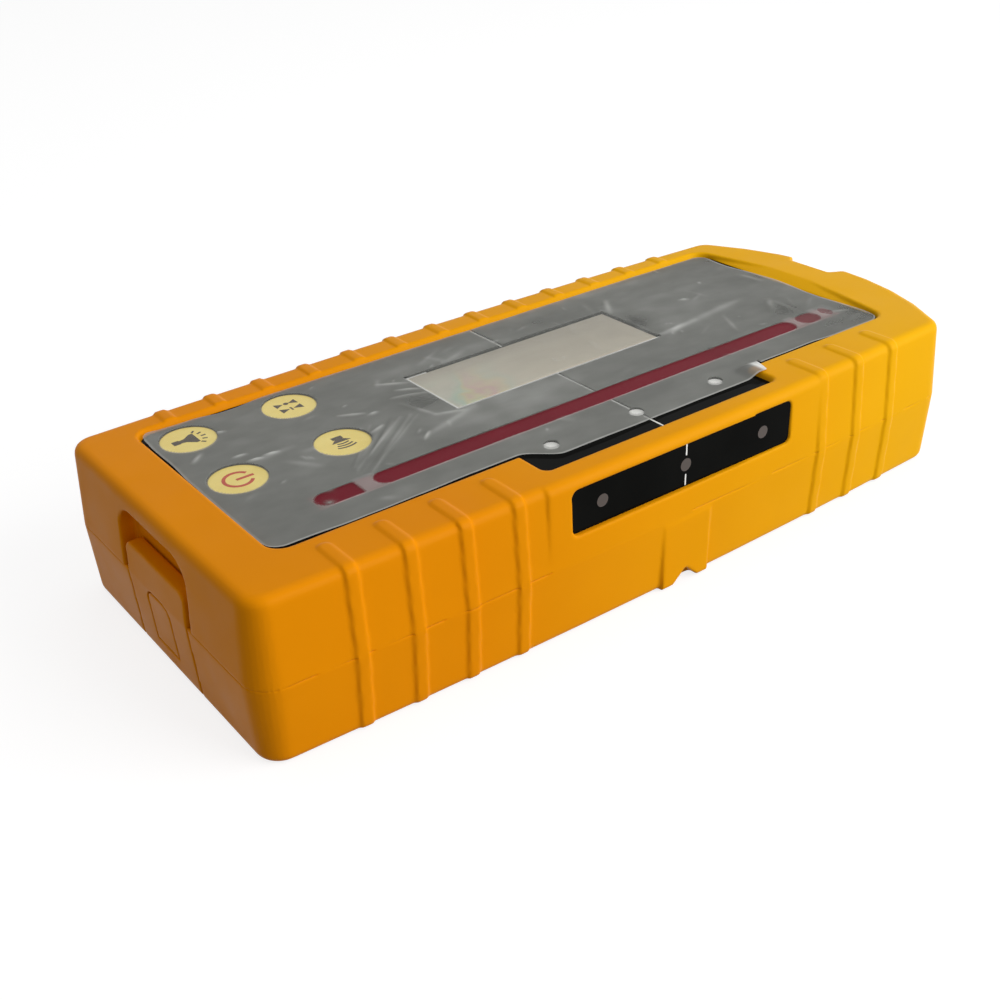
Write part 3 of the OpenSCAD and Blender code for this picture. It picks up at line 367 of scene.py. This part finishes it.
key_ink = ink_look("key_ink", KEY_INK, (0.075, 0.055, 0.032))
power_ink = ink_look("power_ink", POWER_INK, (0.46, 0.060, 0.024))
white_ink = ink_look("white_ink", WHITE_INK, (0.86, 0.86, 0.82))
pink_ink = ink_look("pink_ink", PINK, (0.30, 0.09, 0.11))


def dress(item, look):
    item.data.materials.clear()
    item.data.materials.append(look.material)


def new_piece(name, mesh, body, look):
    """A piece of the object that rides on a body."""
    made = bpy.data.objects.new(name, mesh)
    bpy.context.scene.collection.objects.link(made)
    dress(made, look)
    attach(made, body)
    return made


# Housing shells, door and latch, with the soft edges of a moulding; the sharp edge is in degrees
SEAM_KEPT = 0.4
SEAM_LAP = 0.1
SEAM_NEAR = 0.01
SHELL_VOXEL, SHELL_KEPT = 0.32, 0.20
FLAP_VOXEL, FLAP_KEPT = 0.24, 0.32
SHARP_EDGE = 55
SMOOTH_PASSES = 3


def settle(item):
    """Turn what an object's modifiers make into its own mesh."""
    ready = item.evaluated_get(bpy.context.evaluated_depsgraph_get())
    mesh = bpy.data.meshes.new_from_object(ready)
    item.modifiers.clear()
    item.data = mesh


def soften(node, voxel, keep, lap=0.0):
    """A copy of a CAD node with rounded edges, which stands for it and laps the seam by a little."""
    mesh = nodes[node].data.copy()
    made = new_piece(node + "_moulding", mesh, body_of[node], looks["shell"])
    for vertex in made.data.vertices:
        if abs(vertex.co.z / MM - shell_low.z) < SEAM_NEAR:
            vertex.co.z += lap * MM
    remesh = made.modifiers.new("remesh", "REMESH")
    remesh.mode = "VOXEL"
    remesh.voxel_size = voxel * MM
    settle(made)
    # The seam between the shells is left as it is, so that it closes to a hairline
    places = np.empty(3 * len(made.data.vertices))
    made.data.vertices.foreach_get("co", places)
    free = np.nonzero(np.abs(places[2::3] / MM - shell_low.z) > SEAM_KEPT)[0]
    made.vertex_groups.new(name="free").add(free.tolist(), 1.0, "REPLACE")
    smooth = made.modifiers.new("smooth", "SMOOTH")
    smooth.factor = 0.5
    smooth.iterations = SMOOTH_PASSES
    smooth.vertex_group = "free"
    thin = made.modifiers.new("thin", "DECIMATE")
    thin.ratio = keep
    thin.vertex_group = "free"
    settle(made)
    made.vertex_groups.clear()
    made.data.polygons.foreach_set("use_smooth", [True] * len(made.data.polygons))
    # Flat faces keep their own normals beside the rounded edges
    made.data.set_sharp_from_angle(angle=math.radians(SHARP_EDGE))
    weigh = made.modifiers.new("weigh", "WEIGHTED_NORMAL")
    weigh.keep_sharp = True
    settle(made)
    dress(made, looks["shell"])
    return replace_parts(made, node)


soften("front_shell", SHELL_VOXEL, SHELL_KEPT, -SEAM_LAP)
soften("rear_shell", SHELL_VOXEL, SHELL_KEPT, SEAM_LAP)
for part in ("battery_door", "battery_latch"):
    soften(part, FLAP_VOXEL, FLAP_KEPT)
for node, item in nodes.items():
    if not item.hide_render:
        dress(item, key_look(node) if slot_of[node] == "key" else looks[slot_of[node]])

# Print, as outlines in millimetres that are raised by the ink's thickness
INK = 0.02


def strip(x0, y0, x1, y1):
    """Rectangle between two corners."""
    return [(x0, y0), (x1, y0), (x1, y1), (x0, y1)]


def arc(x, y, r, start, end, steps=24):
    """Points on an arc, from one angle to another in degrees."""
    angles = [math.radians(start + (end - start) * i / steps) for i in range(steps + 1)]
    return [(x + r * math.cos(a), y + r * math.sin(a)) for a in angles]


def band(x, y, r, width, start, end):
    """Part of a ring, as wide as given."""
    return arc(x, y, r + width / 2, start, end) + arc(x, y, r - width / 2, end, start)


def dash(x, y, angle, inner, outer, width):
    """Short bar on a ray from a point."""
    along = Vector((math.cos(math.radians(angle)), math.sin(math.radians(angle))))
    across = Vector((-along.y, along.x)) * width / 2
    start = Vector((x, y)) + along * inner
    end = Vector((x, y)) + along * outer
    return [tuple(p) for p in (start - across, end - across, end + across, start + across)]


def print_mesh(name, outlines, lift):
    """Mesh of thin prisms; lift takes a print point and a height to a place on the object."""
    made = bmesh.new()
    for outline in outlines:
        low = [made.verts.new(lift(u, v, 0.0) * MM) for u, v in outline]
        high = [made.verts.new(lift(u, v, INK) * MM) for u, v in outline]
        made.faces.new(high)
        for i in range(len(outline)):
            made.faces.new((low[i - 1], low[i], high[i], high[i - 1]))
    bmesh.ops.recalc_face_normals(made, faces=made.faces)
    mesh = bpy.data.meshes.new(name)
    made.to_mesh(mesh)
    made.free()
    return mesh


def on_face(u, v, height):
    return Vector((u, v, face_high.z + height))


def on_side(u, v, height):
    return Vector((u, side_low.y - height, v))


# Reference line and frames on the face and on the side
LINE = 0.37
SIDE_LINE = 0.30
LINE_GAP = 0.2
FAR_LINE_GAP = 0.3
DOT_GAP = 1.9
FRAME = 0.42
RED_FRAME = 0.30
FAR_FRAME_REACH = 4.5


def frame_strips(low, high, width, sides):
    """Thin strips just outside a rectangle, on the sides that are named."""
    x0, y0, x1, y1 = low.x, low.y, high.x, high.y
    found = {
        "near": strip(x0 - width, y0 - width, x1 + width, y0),
        "far": strip(x0 - width, y1, x1 + width, y1 + width),
        "left": strip(x0 - width, y0, x0, y1),
        "right": strip(x1, y0, x1 + width, y1),
    }
    return [found[side] for side in sides]


def line_strips(width, stretches):
    return [strip(ref_x - width / 2, start, ref_x + width / 2, end) for start, end in stretches]


face_lines = line_strips(LINE, [
    (lcd_high.y + FRAME, face_high.y - FAR_LINE_GAP),
    (bar_high.y + FRAME, lcd_low.y - FRAME),
    (dot_y + DOT_GAP, bar_low.y - FRAME),
    (face_low.y + LINE_GAP, dot_y - DOT_GAP),
])
side_lines = line_strips(SIDE_LINE, [
    (side_low.z + LINE_GAP, side_dot_z - DOT_GAP),
    (side_dot_z + DOT_GAP, side_high.z - LINE_GAP),
])
lcd_frame = frame_strips(lcd_low, lcd_high, FRAME, ("near", "left"))
lcd_frame.append(strip(lcd_low.x - FRAME, lcd_high.y, lcd_low.x + FAR_FRAME_REACH, lcd_high.y + FRAME))
bar_frame = frame_strips(bar_low, bar_high, RED_FRAME, ("near",))
for name, outlines, lift, slot, look in (
    ("face_reference_line", face_lines, on_face, "light_pipe", white_ink),
    ("side_reference_line", side_lines, on_side, "light_pipe", white_ink),
    ("display_border", lcd_frame, on_face, "light_pipe", white_ink),
    ("red_window_border", bar_frame, on_face, "red_window", pink_ink),
):
    new_piece(name, print_mesh(name, outlines, lift), "housing", look)


# Key pictograms, drawn with their own right and up
ICON_SIZE = 0.93


def torch_icon():
    """Torch that shines upwards, with five rays."""
    body = [(-0.95, -3.3), (0.75, -3.3), (0.75, -1.9), (0.55, -1.7), (0.75, -0.6), (2.05, 0.9),
            (2.05, 1.7), (-2.0, 1.7), (-2.0, 0.9), (-0.85, -0.6), (-0.65, -1.7), (-0.95, -1.9)]
    rays = [dash(0, -0.4, 90 + turn, 3.1, 4.1, 0.42) for turn in (-46, -23, 0, 23, 46)]
    return [body] + rays


def precision_icon():
    """Two pairs of wedges, one closing on a dot and one on a bar."""
    shapes = [arc(-1.6, 0.1, 0.55, 0, 360), strip(0.45, -0.2, 1.85, 0.2)]
    for row, reach in ((-1.6, 0.62), (1.15, 0.42)):
        for side in (-1, 1):
            shapes.append([(row - 0.98, side * 2.4), (row + 0.98, side * 2.4), (row, side * reach)])
    return shapes


def power_icon():
    """Open ring with a bar in its gap."""
    return [band(0, 0, 2.75, 0.72, 122, 418), strip(-0.36, -0.4, 0.36, 3.2)]


def sound_icon():
    """Loudspeaker that faces right, with three sound waves."""
    box = [(-2.85, -1.15), (-1.7, -1.15), (-1.7, -0.75), (-0.4, -2.1), (-0.4, 2.1), (-1.7, 0.75),
           (-1.7, 1.15), (-2.85, 1.15)]
    waves = [band(-2.5, 0, r, 0.40, -26, 26) for r in (2.9, 3.8, 4.7)]
    return [box] + waves


for key, icon, ink in (
    ("torch", torch_icon, key_ink),
    ("precision", precision_icon, key_ink),
    ("power", power_icon, power_ink),
    ("sound", sound_icon, key_ink),
):
    low, high = corners("key_" + key)
    middle = (low + high) / 2

    def on_key(u, v, height):
        return Vector((middle.x + ICON_SIZE * v, middle.y - ICON_SIZE * u, high.z + height))

    name = key + "_pictogram"
    new_piece(name, print_mesh(name, icon(), on_key), body_of["key_" + key], ink)


# Loose film: a wrinkled sheet over the face, with a lobe over the panel's tab
FILM_NEAR = face_high.y - 51.85
LOBE_NEAR = film_low.y - 0.8
FILM_ROUND = 3.2
FILM_STEP = 0.34
FILM_ROWS = 160
FILM_REST = film_low.z
LOBE_START = (-25.6, -18.5)
LOBE_END = (31.2, 33.2)
EDGE = 0.28
KEY_LIP = 0.6
DOT_RADIUS = 1.9
# Creases: start x and y, end x and y, half width, height
CREASES = [
    (-28.3, 18.5, -23.6, 15.5, 0.5, 0.20), (-27.0, 13.8, -22.8, 11.3, 0.5, 0.24),
    (-29.4, 11.4, -22.6, 9.0, 0.55, 0.22), (-29.6, 8.3, -27.0, 0.2, 0.5, 0.14),
    (-27.0, 0.2, -22.0, -1.6, 0.5, 0.14), (-28.6, 4.6, -22.6, 5.6, 0.6, -0.10),
    (-34.4, -7.0, -32.0, -4.8, 0.35, 0.20), (-34.0, -6.2, -19.5, -1.4, 0.8, 0.10),
    (-64.2, 9.5, -61.8, 9.3, 0.4, 0.26), (-62.6, 6.6, -60.2, 6.1, 0.4, 0.28),
    (-59.4, 6.7, -56.9, 6.3, 0.4, 0.26), (-62.2, 20.8, -60.5, 20.4, 0.4, 0.22),
    (-41.1, 11.8, -37.0, 9.5, 0.45, 0.22), (-36.5, 8.3, -34.8, 8.4, 0.4, 0.22),
    (-40.5, 1.4, -37.0, 2.9, 0.4, 0.18), (29.6, 16.4, 33.6, 22.2, 0.8, 0.16),
    (31.4, 13.4, 30.1, 3.8, 0.9, -0.12), (28.8, 0.2, 40.1, 1.2, 0.8, 0.18),
    (40.1, 1.2, 55.1, 2.8, 1.2, 0.14), (45.6, 11.2, 47.0, 10.6, 0.5, 0.22),
    (56.0, -6.0, 59.6, -1.2, 0.9, 0.20), (59.8, -2.6, 59.2, -9.6, 0.8, 0.18),
    (66.2, 13.5, 67.2, 7.8, 0.8, 0.20), (62.6, -14.3, 67.6, -16.4, 0.5, 0.24),
    (-70.6, 12.4, -68.0, 14.6, 0.5, 0.20),
]
# Fan of fine folds beside the red window: line count, first and last start, first and last end
FAN = (11, (-38.6, 4.2), (-29.4, 3.4), (-50.6, -7.4), (-48.2, -11.4))
RANDOM_CREASES = 34
RANDOM_FLECKS = 46
CREASE_SEED = 11
# Shares by which the film touches what it lies on
DISPLAY_TOUCH = 0.45
BORDER_TOUCH = 0.80
DOT_TOUCH = 0.85
LINE_TOUCH = 0.35
# Clear pieces of the red window: start x, end x, touch
BAR_PIECES = ((bar_low.x + 0.3, -51.0, 1.0), (-49.2, 53.6, 1.0), (55.4, 60.9, 0.75), (62.4, 64.6, 0.5))
# Nicks in the first of them: x, y, reach
BAR_NICKS = ((-59.0, bar_low.y + 0.5, 0.75), (-57.0, bar_high.y, 0.8))
# Pale bits between them, a painted sheen where the film stands off: start x, end x, whiteness
BAR_PALE_SHEEN = ((-52.2, -49.2, 0.55), (53.4, 55.6, 0.75), (60.8, 62.6, 0.75), (62.6, 66.0, 0.35))
# Cover: its usual share, how far clouds, grain and streaks swing it, and what creases add; what creases
# add also whitens them as a painted highlight
HAZE = 0.565
HAZE_CLOUDS, HAZE_GRAIN, HAZE_STREAKS = 0.06, 0.03, 0.055
HAZE_CREASES_SHEEN = 0.80
# Clear spots where the film is stuck down: x, y, reach
WET_SPOTS = ((70, -16, 4.0), (58.5, -6.5, 3.5), (31, 9, 3.5), (-26.0, 7, 3.0))
WET = 0.16
# Least cover along the left, right, near and far edge; this also whitens the edges as a painted glint
EDGE_HAZE_GLINT = ((np.s_[:2, :], 0.64), (np.s_[-2:, :], 0.68), (np.s_[:, :2], 0.72), (np.s_[:, -2:], 0.60))


def ease(start, end, value):
    """Smooth step from 0 at start to 1 at end."""
    t = np.clip((value - start) / (end - start), 0.0, 1.0)
    return t * t * (3 - 2 * t)


def cloud(x, y, size, seed):
    """Smooth noise from about -1 to 1 at each point of a grid."""
    flat = [noise.noise(Vector((a / size[0], b / size[1], seed))) for a, b in zip(x.ravel(), y.ravel())]
    return np.array(flat).reshape(x.shape)


def ridge(x, y, crease):
    """Rounded ridge along a crease that fades at both ends."""
    x0, y0, x1, y1, half, height = crease
    dx, dy = x1 - x0, y1 - y0
    along = ((x - x0) * dx + (y - y0) * dy) / (dx * dx + dy * dy)
    spot = np.clip(along, 0.0, 1.0)
    off = np.hypot(x - x0 - spot * dx, y - y0 - spot * dy) / half
    return height * np.exp(-off * off) * np.sqrt(np.clip(1.15 - np.abs(2 * spot - 1), 0.0, 1.0))


def film_outline():
    """Grid of points that fills the film's cut, from its near to its far edge."""
    count = round((film_high.x - film_low.x) / FILM_STEP)
    inner = np.linspace(film_low.x + 2 * EDGE, film_high.x - 2 * EDGE, count)
    x = np.concatenate(([film_low.x, film_low.x + EDGE], inner, [film_high.x - EDGE, film_high.x]))
    lobe = ease(*LOBE_START, x) * (1 - ease(*LOBE_END, x))
    from_end = np.minimum(x - film_low.x, film_high.x - x)
    bite = FILM_ROUND - np.minimum(from_end, FILM_ROUND)
    corner = FILM_ROUND - np.sqrt(np.maximum(FILM_ROUND ** 2 - bite ** 2, 0.0))
    near = FILM_NEAR - lobe * (FILM_NEAR - LOBE_NEAR) + corner
    near = near + 0.1 * np.sin(x / 7) - 0.7 * ease(48, 56, x)
    dip = 0.8 * ease(-63, -57, x) * (1 - ease(-55, -48, x))
    far = film_high.y - corner - dip
    share = np.concatenate(([0.0, 0.005], np.linspace(0.010, 0.990, FILM_ROWS), [0.995, 1.0]))
    y = near[:, None] + (far - near)[:, None] * share[None, :]
    wave = -0.5 * ease(-8, 26, y) + 0.6 * np.sin(y / 4.3) * ease(-24, -6, y)
    shift = 0.15 * ease(8, 16, y) - 0.28 * (1 - ease(6, 14, y))
    grid_x = x[:, None] + wave * ease(52, film_high.x, x)[:, None]
    grid_x += shift * (1 - ease(film_low.x, film_low.x + 6, x))[:, None]
    return grid_x, y


def clings(x, y):
    """Share from 0 to 1 by which the film touches what is under it."""
    touch = np.zeros_like(x)
    for key in ("torch", "precision", "power", "sound"):
        low, high = corners("key_" + key)
        middle, r = (low + high) / 2, (high.x - low.x) / 2 - KEY_LIP
        touch = np.maximum(touch, 1 - ease(r - 0.35, r + 0.05, np.hypot(x - middle.x, y - middle.y)))
    inside = np.maximum(np.abs(x - (lcd_low.x + lcd_high.x) / 2) - (lcd_high.x - lcd_low.x) / 2,
                        np.abs(y - (lcd_low.y + lcd_high.y) / 2) - (lcd_high.y - lcd_low.y) / 2)
    touch = np.maximum(touch, DISPLAY_TOUCH * (1 - ease(0.3, 0.7, inside)))
    border = np.abs(inside - FRAME / 2) + 9 * ((y > lcd_low.y) & (x > lcd_low.x))
    touch = np.maximum(touch, BORDER_TOUCH * (1 - ease(0.25, 0.6, border)))
    for dot_x in (dots_low.x + DOT_RADIUS, ref_x, dots_high.x - DOT_RADIUS):
        off = np.hypot(x - dot_x, y - dot_y)
        touch = np.maximum(touch, DOT_TOUCH * (1 - ease(1.0, 1.5, off)))
    touch = np.maximum(touch, LINE_TOUCH * (1 - ease(0.15, 0.4, np.abs(x - ref_x))))
    return np.maximum(touch, clings_to_bar(x, y))


def clings_to_bar(x, y):
    """The same for the red window, which the film touches in pieces, with nicks in the first."""
    middle, half = (bar_low.y + bar_high.y) / 2, (bar_high.y - bar_low.y) / 2
    across = np.where(y > middle, y - middle + 0.5, middle - y - 0.35)
    across = np.maximum(across, 0.0)
    touch = np.zeros_like(x)
    for start, end, share in BAR_PIECES:
        past = np.maximum(np.maximum(start + half - x, x - end + half), 0.0)
        touch = np.maximum(touch, share * (1 - ease(half - 0.1, half + 0.25, np.hypot(past, across))))
    first = (x < -50.0) * ease(-52.6, -52.2, x)
    for spot_x, spot_y, reach in BAR_NICKS:
        first = np.maximum(first, np.exp(-((x - spot_x) ** 2 + (y - spot_y) ** 2) / reach ** 2))
    return touch * (1 - first)


def wrinkles():
    """All creases: the listed ones, the fan, some faint ones anywhere and short flecks, whose
    brightness is a painted glint from the haze.
    """
    chance = random.Random(CREASE_SEED)
    found = list(CREASES)
    lines, *ends = FAN
    for line in range(lines):
        share = line / (lines - 1)
        points = [first + (last - first) * share
                  for low, high in (ends[:2], ends[2:]) for first, last in zip(low, high)]
        points = [value + chance.uniform(-1.2, 1.2) for value in points]
        height = -0.05 if line % 2 else chance.uniform(0.05, 0.11)
        found.append((*points, chance.uniform(0.25, 0.42), height))
    for _ in range(RANDOM_CREASES):
        x0, y0 = chance.uniform(-72, 68), chance.uniform(-21, 28)
        angle, reach = chance.gauss(0.7, 0.7), chance.uniform(3, 9)
        end = (x0 + reach * math.cos(angle), y0 + reach * math.sin(angle))
        found.append((x0, y0, *end, chance.uniform(0.5, 0.9), chance.uniform(0.04, 0.10)))
    for _ in range(RANDOM_FLECKS):
        x0, y0 = chance.uniform(-72, 68), chance.uniform(-21, 28)
        angle, reach = chance.gauss(0.6, 0.9), chance.uniform(0.7, 2.2)
        end = (x0 + reach * math.cos(angle), y0 + reach * math.sin(angle))
        found.append((x0, y0, *end, chance.uniform(0.25, 0.38), chance.uniform(0.05, 0.15)))
    return found


def lobe_tip(x, y):
    """Share from 0 to 1 of the lobe's far corner, which lies on the bezel."""
    across = ease(26.5, 29.6, x) * (1 - ease(33.6, 34.6, x))
    return across * (1 - ease(FILM_NEAR - 1.0, FILM_NEAR + 1.2, y))


def film_relief(x, y, touch):
    """Height of the film above where it rests."""
    rise = 0.16 + 0.16 * cloud(x, y, (24, 13), 0.3) + 0.07 * cloud(x, y, (6, 5), 7.7)
    rise = np.maximum(rise, 0.02) * (1 - 0.9 * touch)
    for crease in wrinkles():
        rise += ridge(x, y, crease)
    rise = np.maximum(rise, 0.02) + (shell_high.z - 0.3 - FILM_REST) * lobe_tip(x, y)
    return rise + 0.5 * ease(-69.5, film_low.x, x) * ease(21, 28, y)


def bar_pale_sheen(x, y):
    """Share from 0 to 1 of the pale bits, a painted sheen, where the film stands off the red window."""
    middle, half = (bar_low.y + bar_high.y) / 2, (bar_high.y - bar_low.y) / 2
    found = np.zeros_like(x)
    for start, end, level in BAR_PALE_SHEEN:
        bit = ease(start - 0.5, start + 0.3, x) * (1 - ease(end - 0.3, end + 0.5, x))
        found = np.maximum(found, level * bit)
    return found * (1 - ease(half - 0.1, half + 0.5, np.abs(y - middle)))


def film_haze(x, y, touch):
    """How much the film covers and how white it is, both from 0 to 1; the white is partly thick haze
    and partly painted sheen on creases, edges, the lobe's tip and over the red window.
    """
    haze = HAZE + HAZE_CLOUDS * cloud(x, y, (20, 14), 2.2) + HAZE_GRAIN * cloud(x, y, (5, 4), 5.1)
    haze += HAZE_STREAKS * cloud(x - 0.5 * y, y + 0.12 * x, (30, 4.5), 8.4) * ease(-40, -20, x)
    haze -= 0.02 * (1 - ease(-17.5, -15.6, y)) + 0.03 * ease(30, 60, x)
    for spot_x, spot_y, reach in WET_SPOTS:
        haze -= WET * np.exp(-((x - spot_x) ** 2 + (y - spot_y) ** 2) / reach ** 2)
    for crease in wrinkles():
        haze += HAZE_CREASES_SHEEN * ridge(x, y, crease)
    for edge, level in EDGE_HAZE_GLINT:
        haze[edge] = np.maximum(haze[edge], level)
    # Painted sheen where the film stands off the red window
    pale = bar_pale_sheen(x, y)
    whiteness_and_sheen = np.clip((haze - 0.58) / 0.36, 0.0, 1.0)
    whiteness_and_sheen = np.maximum(whiteness_and_sheen, 0.9 * pale)
    haze = haze * (1 - 0.95 * touch) * (1 - 0.3 * np.minimum(2 * pale, 1.0))
    # The lobe's tip on the bezel turns nearly opaque and white: a painted highlight
    tip_highlight = lobe_tip(x, y) * ease(30.0, 31.4, x)
    haze += (0.94 - haze) * tip_highlight
    return np.clip(haze, 0.015, 0.95), np.maximum(whiteness_and_sheen, tip_highlight)


def make_film():
    x, y = film_outline()
    touch = clings(x, y)
    z = FILM_REST + film_relief(x, y, touch)
    columns, rows = x.shape
    points = np.stack((x, y, z), axis=-1).reshape(-1, 3) * MM
    faces = []
    for i in range(columns - 1):
        for j in range(rows - 1):
            corner = i * rows + j
            faces.append((corner, corner + rows, corner + rows + 1, corner + 1))
    mesh = bpy.data.meshes.new("loose_film")
    mesh.from_pydata(points.tolist(), [], faces)
    mesh.polygons.foreach_set("use_smooth", [True] * len(faces))
    for name, values in zip(("haze", "whiteness_and_sheen"), film_haze(x, y, touch)):
        layer = mesh.attributes.new(name, "FLOAT", "POINT")
        layer.data.foreach_set("value", values.ravel().astype(np.float32))
    film = new_piece("loose_film", mesh, "housing", looks["film"])
    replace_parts(film, "protective_film")


make_film()


# Studio: pale floor, soft light, camera
FLOOR_SIZE = 6.0
FLOOR_LEVEL = -0.05 * MM
FLOOR_GREY = 0.30
FLOOR_GLOW = 0.80
SKY_LIGHT = 0.40
# Lamps: place and size in metres, power in watts
LAMPS = {
    "front_lamp": ((0.46, -0.64, 0.34), 0.80, 7.7),
    "top_lamp": ((0.24, 0.18, 0.93), 0.9, 1.3),
}


def shown_ray(tree):
    """Socket that is 1 for rays that carry the background to the eye, straight or by reflection."""
    path = tree.nodes.new("ShaderNodeLightPath")
    found = path.outputs["Is Camera Ray"]
    for ray in ("Is Glossy Ray", "Is Transmission Ray"):
        either = tree.nodes.new("ShaderNodeMath")
        either.operation = "MAXIMUM"
        tree.links.new(found, either.inputs[0])
        tree.links.new(path.outputs[ray], either.inputs[1])
        found = either.outputs[0]
    return found


def make_floor():
    mesh = bpy.data.meshes.new("floor")
    half = FLOOR_SIZE / 2
    outline = [(x, y, FLOOR_LEVEL) for x, y in strip(-half, -half, half, half)]
    mesh.from_pydata(outline, [], [(0, 1, 2, 3)])
    floor = bpy.data.objects.new("floor", mesh)
    bpy.context.scene.collection.objects.link(floor)
    material = bpy.data.materials.new("pale_floor")
    material.use_nodes = True
    tree = material.node_tree
    tree.nodes.remove(tree.nodes["Principled BSDF"])
    matt = tree.nodes.new("ShaderNodeBsdfDiffuse")
    matt.inputs["Color"].default_value = (FLOOR_GREY, FLOOR_GREY, FLOOR_GREY, 1.0)
    glow = tree.nodes.new("ShaderNodeEmission")
    level = tree.nodes.new("ShaderNodeMath")
    level.operation = "MULTIPLY"
    level.inputs[1].default_value = FLOOR_GLOW
    both = tree.nodes.new("ShaderNodeAddShader")
    tree.links.new(shown_ray(tree), level.inputs[0])
    tree.links.new(level.outputs[0], glow.inputs["Strength"])
    tree.links.new(matt.outputs[0], both.inputs[0])
    tree.links.new(glow.outputs[0], both.inputs[1])
    tree.links.new(both.outputs[0], tree.nodes["Material Output"].inputs["Surface"])
    mesh.materials.append(material)


def make_world():
    world = bpy.data.worlds.new("studio")
    bpy.context.scene.world = world
    world.use_nodes = True
    tree = world.node_tree
    level = tree.nodes.new("ShaderNodeMapRange")
    level.inputs["To Min"].default_value = SKY_LIGHT
    level.inputs["To Max"].default_value = 1.0
    tree.links.new(shown_ray(tree), level.inputs["Value"])
    background = tree.nodes["Background"]
    background.inputs["Color"].default_value = (1.0, 1.0, 1.0, 1.0)
    tree.links.new(level.outputs[0], background.inputs["Strength"])


def make_lamp(name, place, size, power):
    """Square soft lamp that faces the object."""
    data = bpy.data.lights.new(name, "AREA")
    data.size = size
    data.energy = power
    lamp = bpy.data.objects.new(name, data)
    lamp.location = place
    lamp.rotation_euler = (-Vector(place)).to_track_quat("-Z", "Y").to_euler()
    bpy.context.scene.collection.objects.link(lamp)


def make_camera():
    data = bpy.data.cameras.new("camera")
    data.sensor_width = 36.0
    data.lens = CAMERA_LENS
    data.shift_x, data.shift_y = CAMERA_SHIFT
    data.clip_start = 0.01
    camera = bpy.data.objects.new("camera", data)
    place = Vector(CAMERA_AT) * MM
    straight = (Vector(CAMERA_AIM) * MM - place).to_track_quat("-Z", "Y")
    camera.location = place
    camera.rotation_mode = "QUATERNION"
    camera.rotation_quaternion = straight @ Quaternion((0, 0, 1), math.radians(CAMERA_ROLL))
    bpy.context.scene.collection.objects.link(camera)
    bpy.context.scene.camera = camera


make_floor()
make_world()
for lamp, values in LAMPS.items():
    make_lamp(lamp, *values)
make_camera()
bpy.context.scene.view_settings.view_transform = "Standard"
